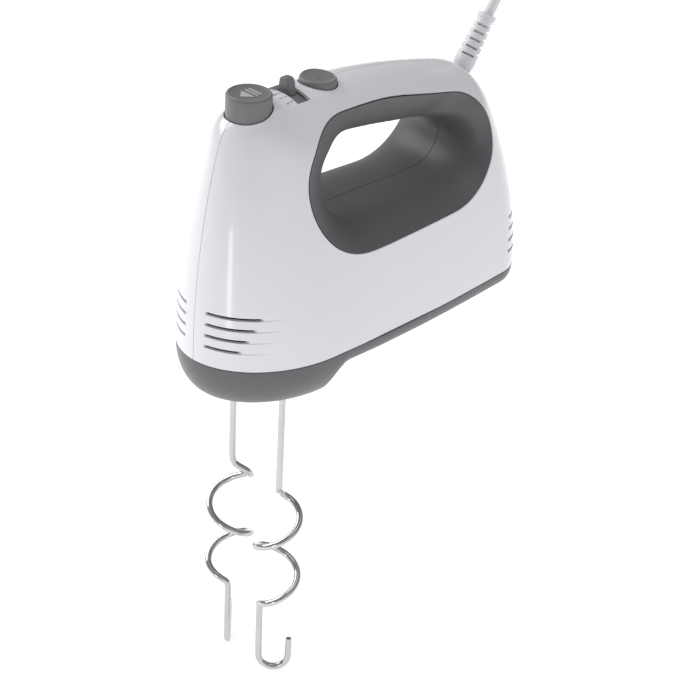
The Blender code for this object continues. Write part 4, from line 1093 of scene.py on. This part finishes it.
def make_scale():
    """The speed scale beside the slot: a digit and a tick for each place of the lever."""
    places = [8.4 - 4.2 * k for k in range(5)]
    tick_points, tick_faces = [], []
    for number, x in enumerate(places):
        data = bpy.data.curves.new("digit_%d" % number, "FONT")
        data.body = str(number)
        data.size = 3.3 * MM
        data.extrude = 0.04 * MM
        data.align_x, data.align_y = "CENTER", "CENTER"
        data.materials.append(INK)
        digit = bpy.data.objects.new("digit_%d" % number, data)
        slope = atan2(strip_z(x + 0.5, 5.2) - strip_z(x - 0.5, 5.2), 1.0)
        digit.rotation_euler = (0.0, -slope, pi)
        digit.location = row((x, 5.2, strip_z(x, 5.2) + 0.03))
        bpy.context.scene.collection.objects.link(digit)
        belongs(digit, "frame", "grey_plastic")
        start = len(tick_points)
        for h in (-0.1, 0.05):
            tick_points += [(a, b, strip_z(a, b) + h) for a, b in
                            ((x - 0.16, 7.1), (x + 0.16, 7.1), (x + 0.16, 8.6), (x - 0.16, 8.6))]
        tick_faces += [tuple(start + v for v in face) for face in
                       ((0, 3, 2, 1), (4, 5, 6, 7), (0, 1, 5, 4), (1, 2, 6, 5), (2, 3, 7, 6), (3, 0, 4, 7))]
    ticks = mesh_object("speed_ticks", tick_points, tick_faces, INK)
    belongs(settle(ticks), "frame", "grey_plastic")


make_ejector()
make_selector()
make_turbo()
make_scale()


# ---------------------------------------------------------------- dough hooks

WIRE_R = 1.75
KINK_Z = -85.0
HELIX_R, HELIX_PITCH, HELIX_TURNS = 11.0, 35.0, 1.75
ARM_DROP = 6.0
CROOK_R, CROOK_Z, CROOK_TIP_Z = 7.75, -184.5, -174.0
ARM_R = 9.8
SHANK_TOP_Z = 38.0


def hook_path(side):
    """Centre line of one hook: shank, arm, helix and the crook at its foot."""
    start = radians(135)
    path = [(0.0, 0.0, z) for z in (SHANK_TOP_Z, SHANK_TOP_Z - 0.4, 10.0, -20.0, -50.0, KINK_Z + 9.0)]
    for reach, drop in ((0.05, 5.6), (0.3, 3.2), (0.8, 1.9), (1.5, 0.9), (2.4, 0.0), (3.6, -0.9),
                        (4.9, -1.7), (6.2, -2.4), (7.5, -3.1), (8.6, -3.9)):
        path.append((reach * cos(start), reach * sin(start), KINK_Z + drop))
    low = KINK_Z - ARM_DROP
    steps = int(HELIX_TURNS * 48)
    for k in range(1, steps + 1):
        part = k / steps
        turn = start - 2 * pi * HELIX_TURNS * part
        entry = min(part / 0.06, 1.0)
        leave = max((part - 0.88) / 0.12, 0.0)
        reach = ARM_R + (HELIX_R - ARM_R) * entry + (CROOK_R - HELIX_R) * leave
        path.append((reach * cos(turn), reach * sin(turn), low - HELIX_PITCH * HELIX_TURNS * part))
    out = start - 2 * pi * HELIX_TURNS
    foot = low - HELIX_PITCH * HELIX_TURNS
    for drop in (2.2, 5.5, 10.0):
        path.append((CROOK_R * cos(out), CROOK_R * sin(out), foot - drop))
    for k in range(25):
        turn = pi * k / 24
        reach = CROOK_R * cos(turn)
        path.append((reach * cos(out), reach * sin(out), CROOK_Z - CROOK_R * sin(turn)))
    for z in (CROOK_TIP_Z - 0.4, CROOK_TIP_Z):
        path.append((-CROOK_R * cos(out), -CROOK_R * sin(out), z))
    smooth = [Vector(p) for p in path]
    for _ in range(2):
        inside = [(a + b * 2 + c) / 4 for a, b, c in zip(smooth[1:], smooth[2:], smooth[3:])]
        smooth = [smooth[0], smooth[1]] + inside + [smooth[-1]]
    return [(side * (SPINDLE_X + p.x), p.y, p.z) for p in smooth]


for label, side in (("right", 1), ("left", -1)):
    made = mesh_object("hook_wire_" + label, *tube(hook_path(side), WIRE_R, 28, 0.3), STEEL)
    belongs(settle(made, 50.0), "hook_" + label, "polished_steel", "dough_hook_" + label)


# ---------------------------------------------------------------- floor and light

def make_floor():
    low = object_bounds()[0].z
    mesh = bpy.data.meshes.new("floor")
    size = 12.0
    mesh.from_pydata([(-size, -size, low), (size, -size, low), (size, size, low), (-size, size, low)], [],
                     [(0, 1, 2, 3)])
    made, nodes, links, shader, place = new_material("floor_white", (0.93, 0.93, 0.94), 0.8)
    shader.inputs["Emission Color"].default_value = (1.0, 1.0, 1.0, 1.0)
    shader.inputs["Emission Strength"].default_value = 0.6
    mesh.materials.append(made)
    floor = bpy.data.objects.new("floor", mesh)
    bpy.context.scene.collection.objects.link(floor)


def area_light(name, place, target, size, power, tint=(1.0, 1.0, 1.0)):
    data = bpy.data.lights.new(name, "AREA")
    data.shape = "RECTANGLE"
    data.size, data.size_y = size
    data.energy = power
    data.color = tint
    light = bpy.data.objects.new(name, data)
    light.visible_camera = False
    light.location = place
    light.rotation_euler = (Vector(target) - Vector(place)).to_track_quat("-Z", "Y").to_euler()
    bpy.context.scene.collection.objects.link(light)


def make_light():
    world = bpy.data.worlds.new("studio")
    bpy.context.scene.world = world
    world.use_nodes = True
    sky = world.node_tree.nodes["Background"]
    sky.inputs["Color"].default_value = (0.98, 0.985, 1.0, 1.0)
    sky.inputs["Strength"].default_value = 0.36
    middle = (0.0, 0.0, -0.08)
    area_light("key", (-1.35, -0.55, 0.95), middle, (1.2, 1.2), 16.0)
    area_light("top", (0.1, 0.1, 1.6), middle, (1.6, 1.2), 6.5)
    area_light("side", (1.5, -0.4, 0.4), middle, (1.0, 1.2), 1.0, (0.96, 0.97, 1.0))
    area_light("strip", (0.175, -0.55, -0.20), (0.017, -0.096, -0.06), (0.055, 0.20), 0.16)


make_floor()
make_light()
bpy.context.scene.view_settings.view_transform = "Standard"
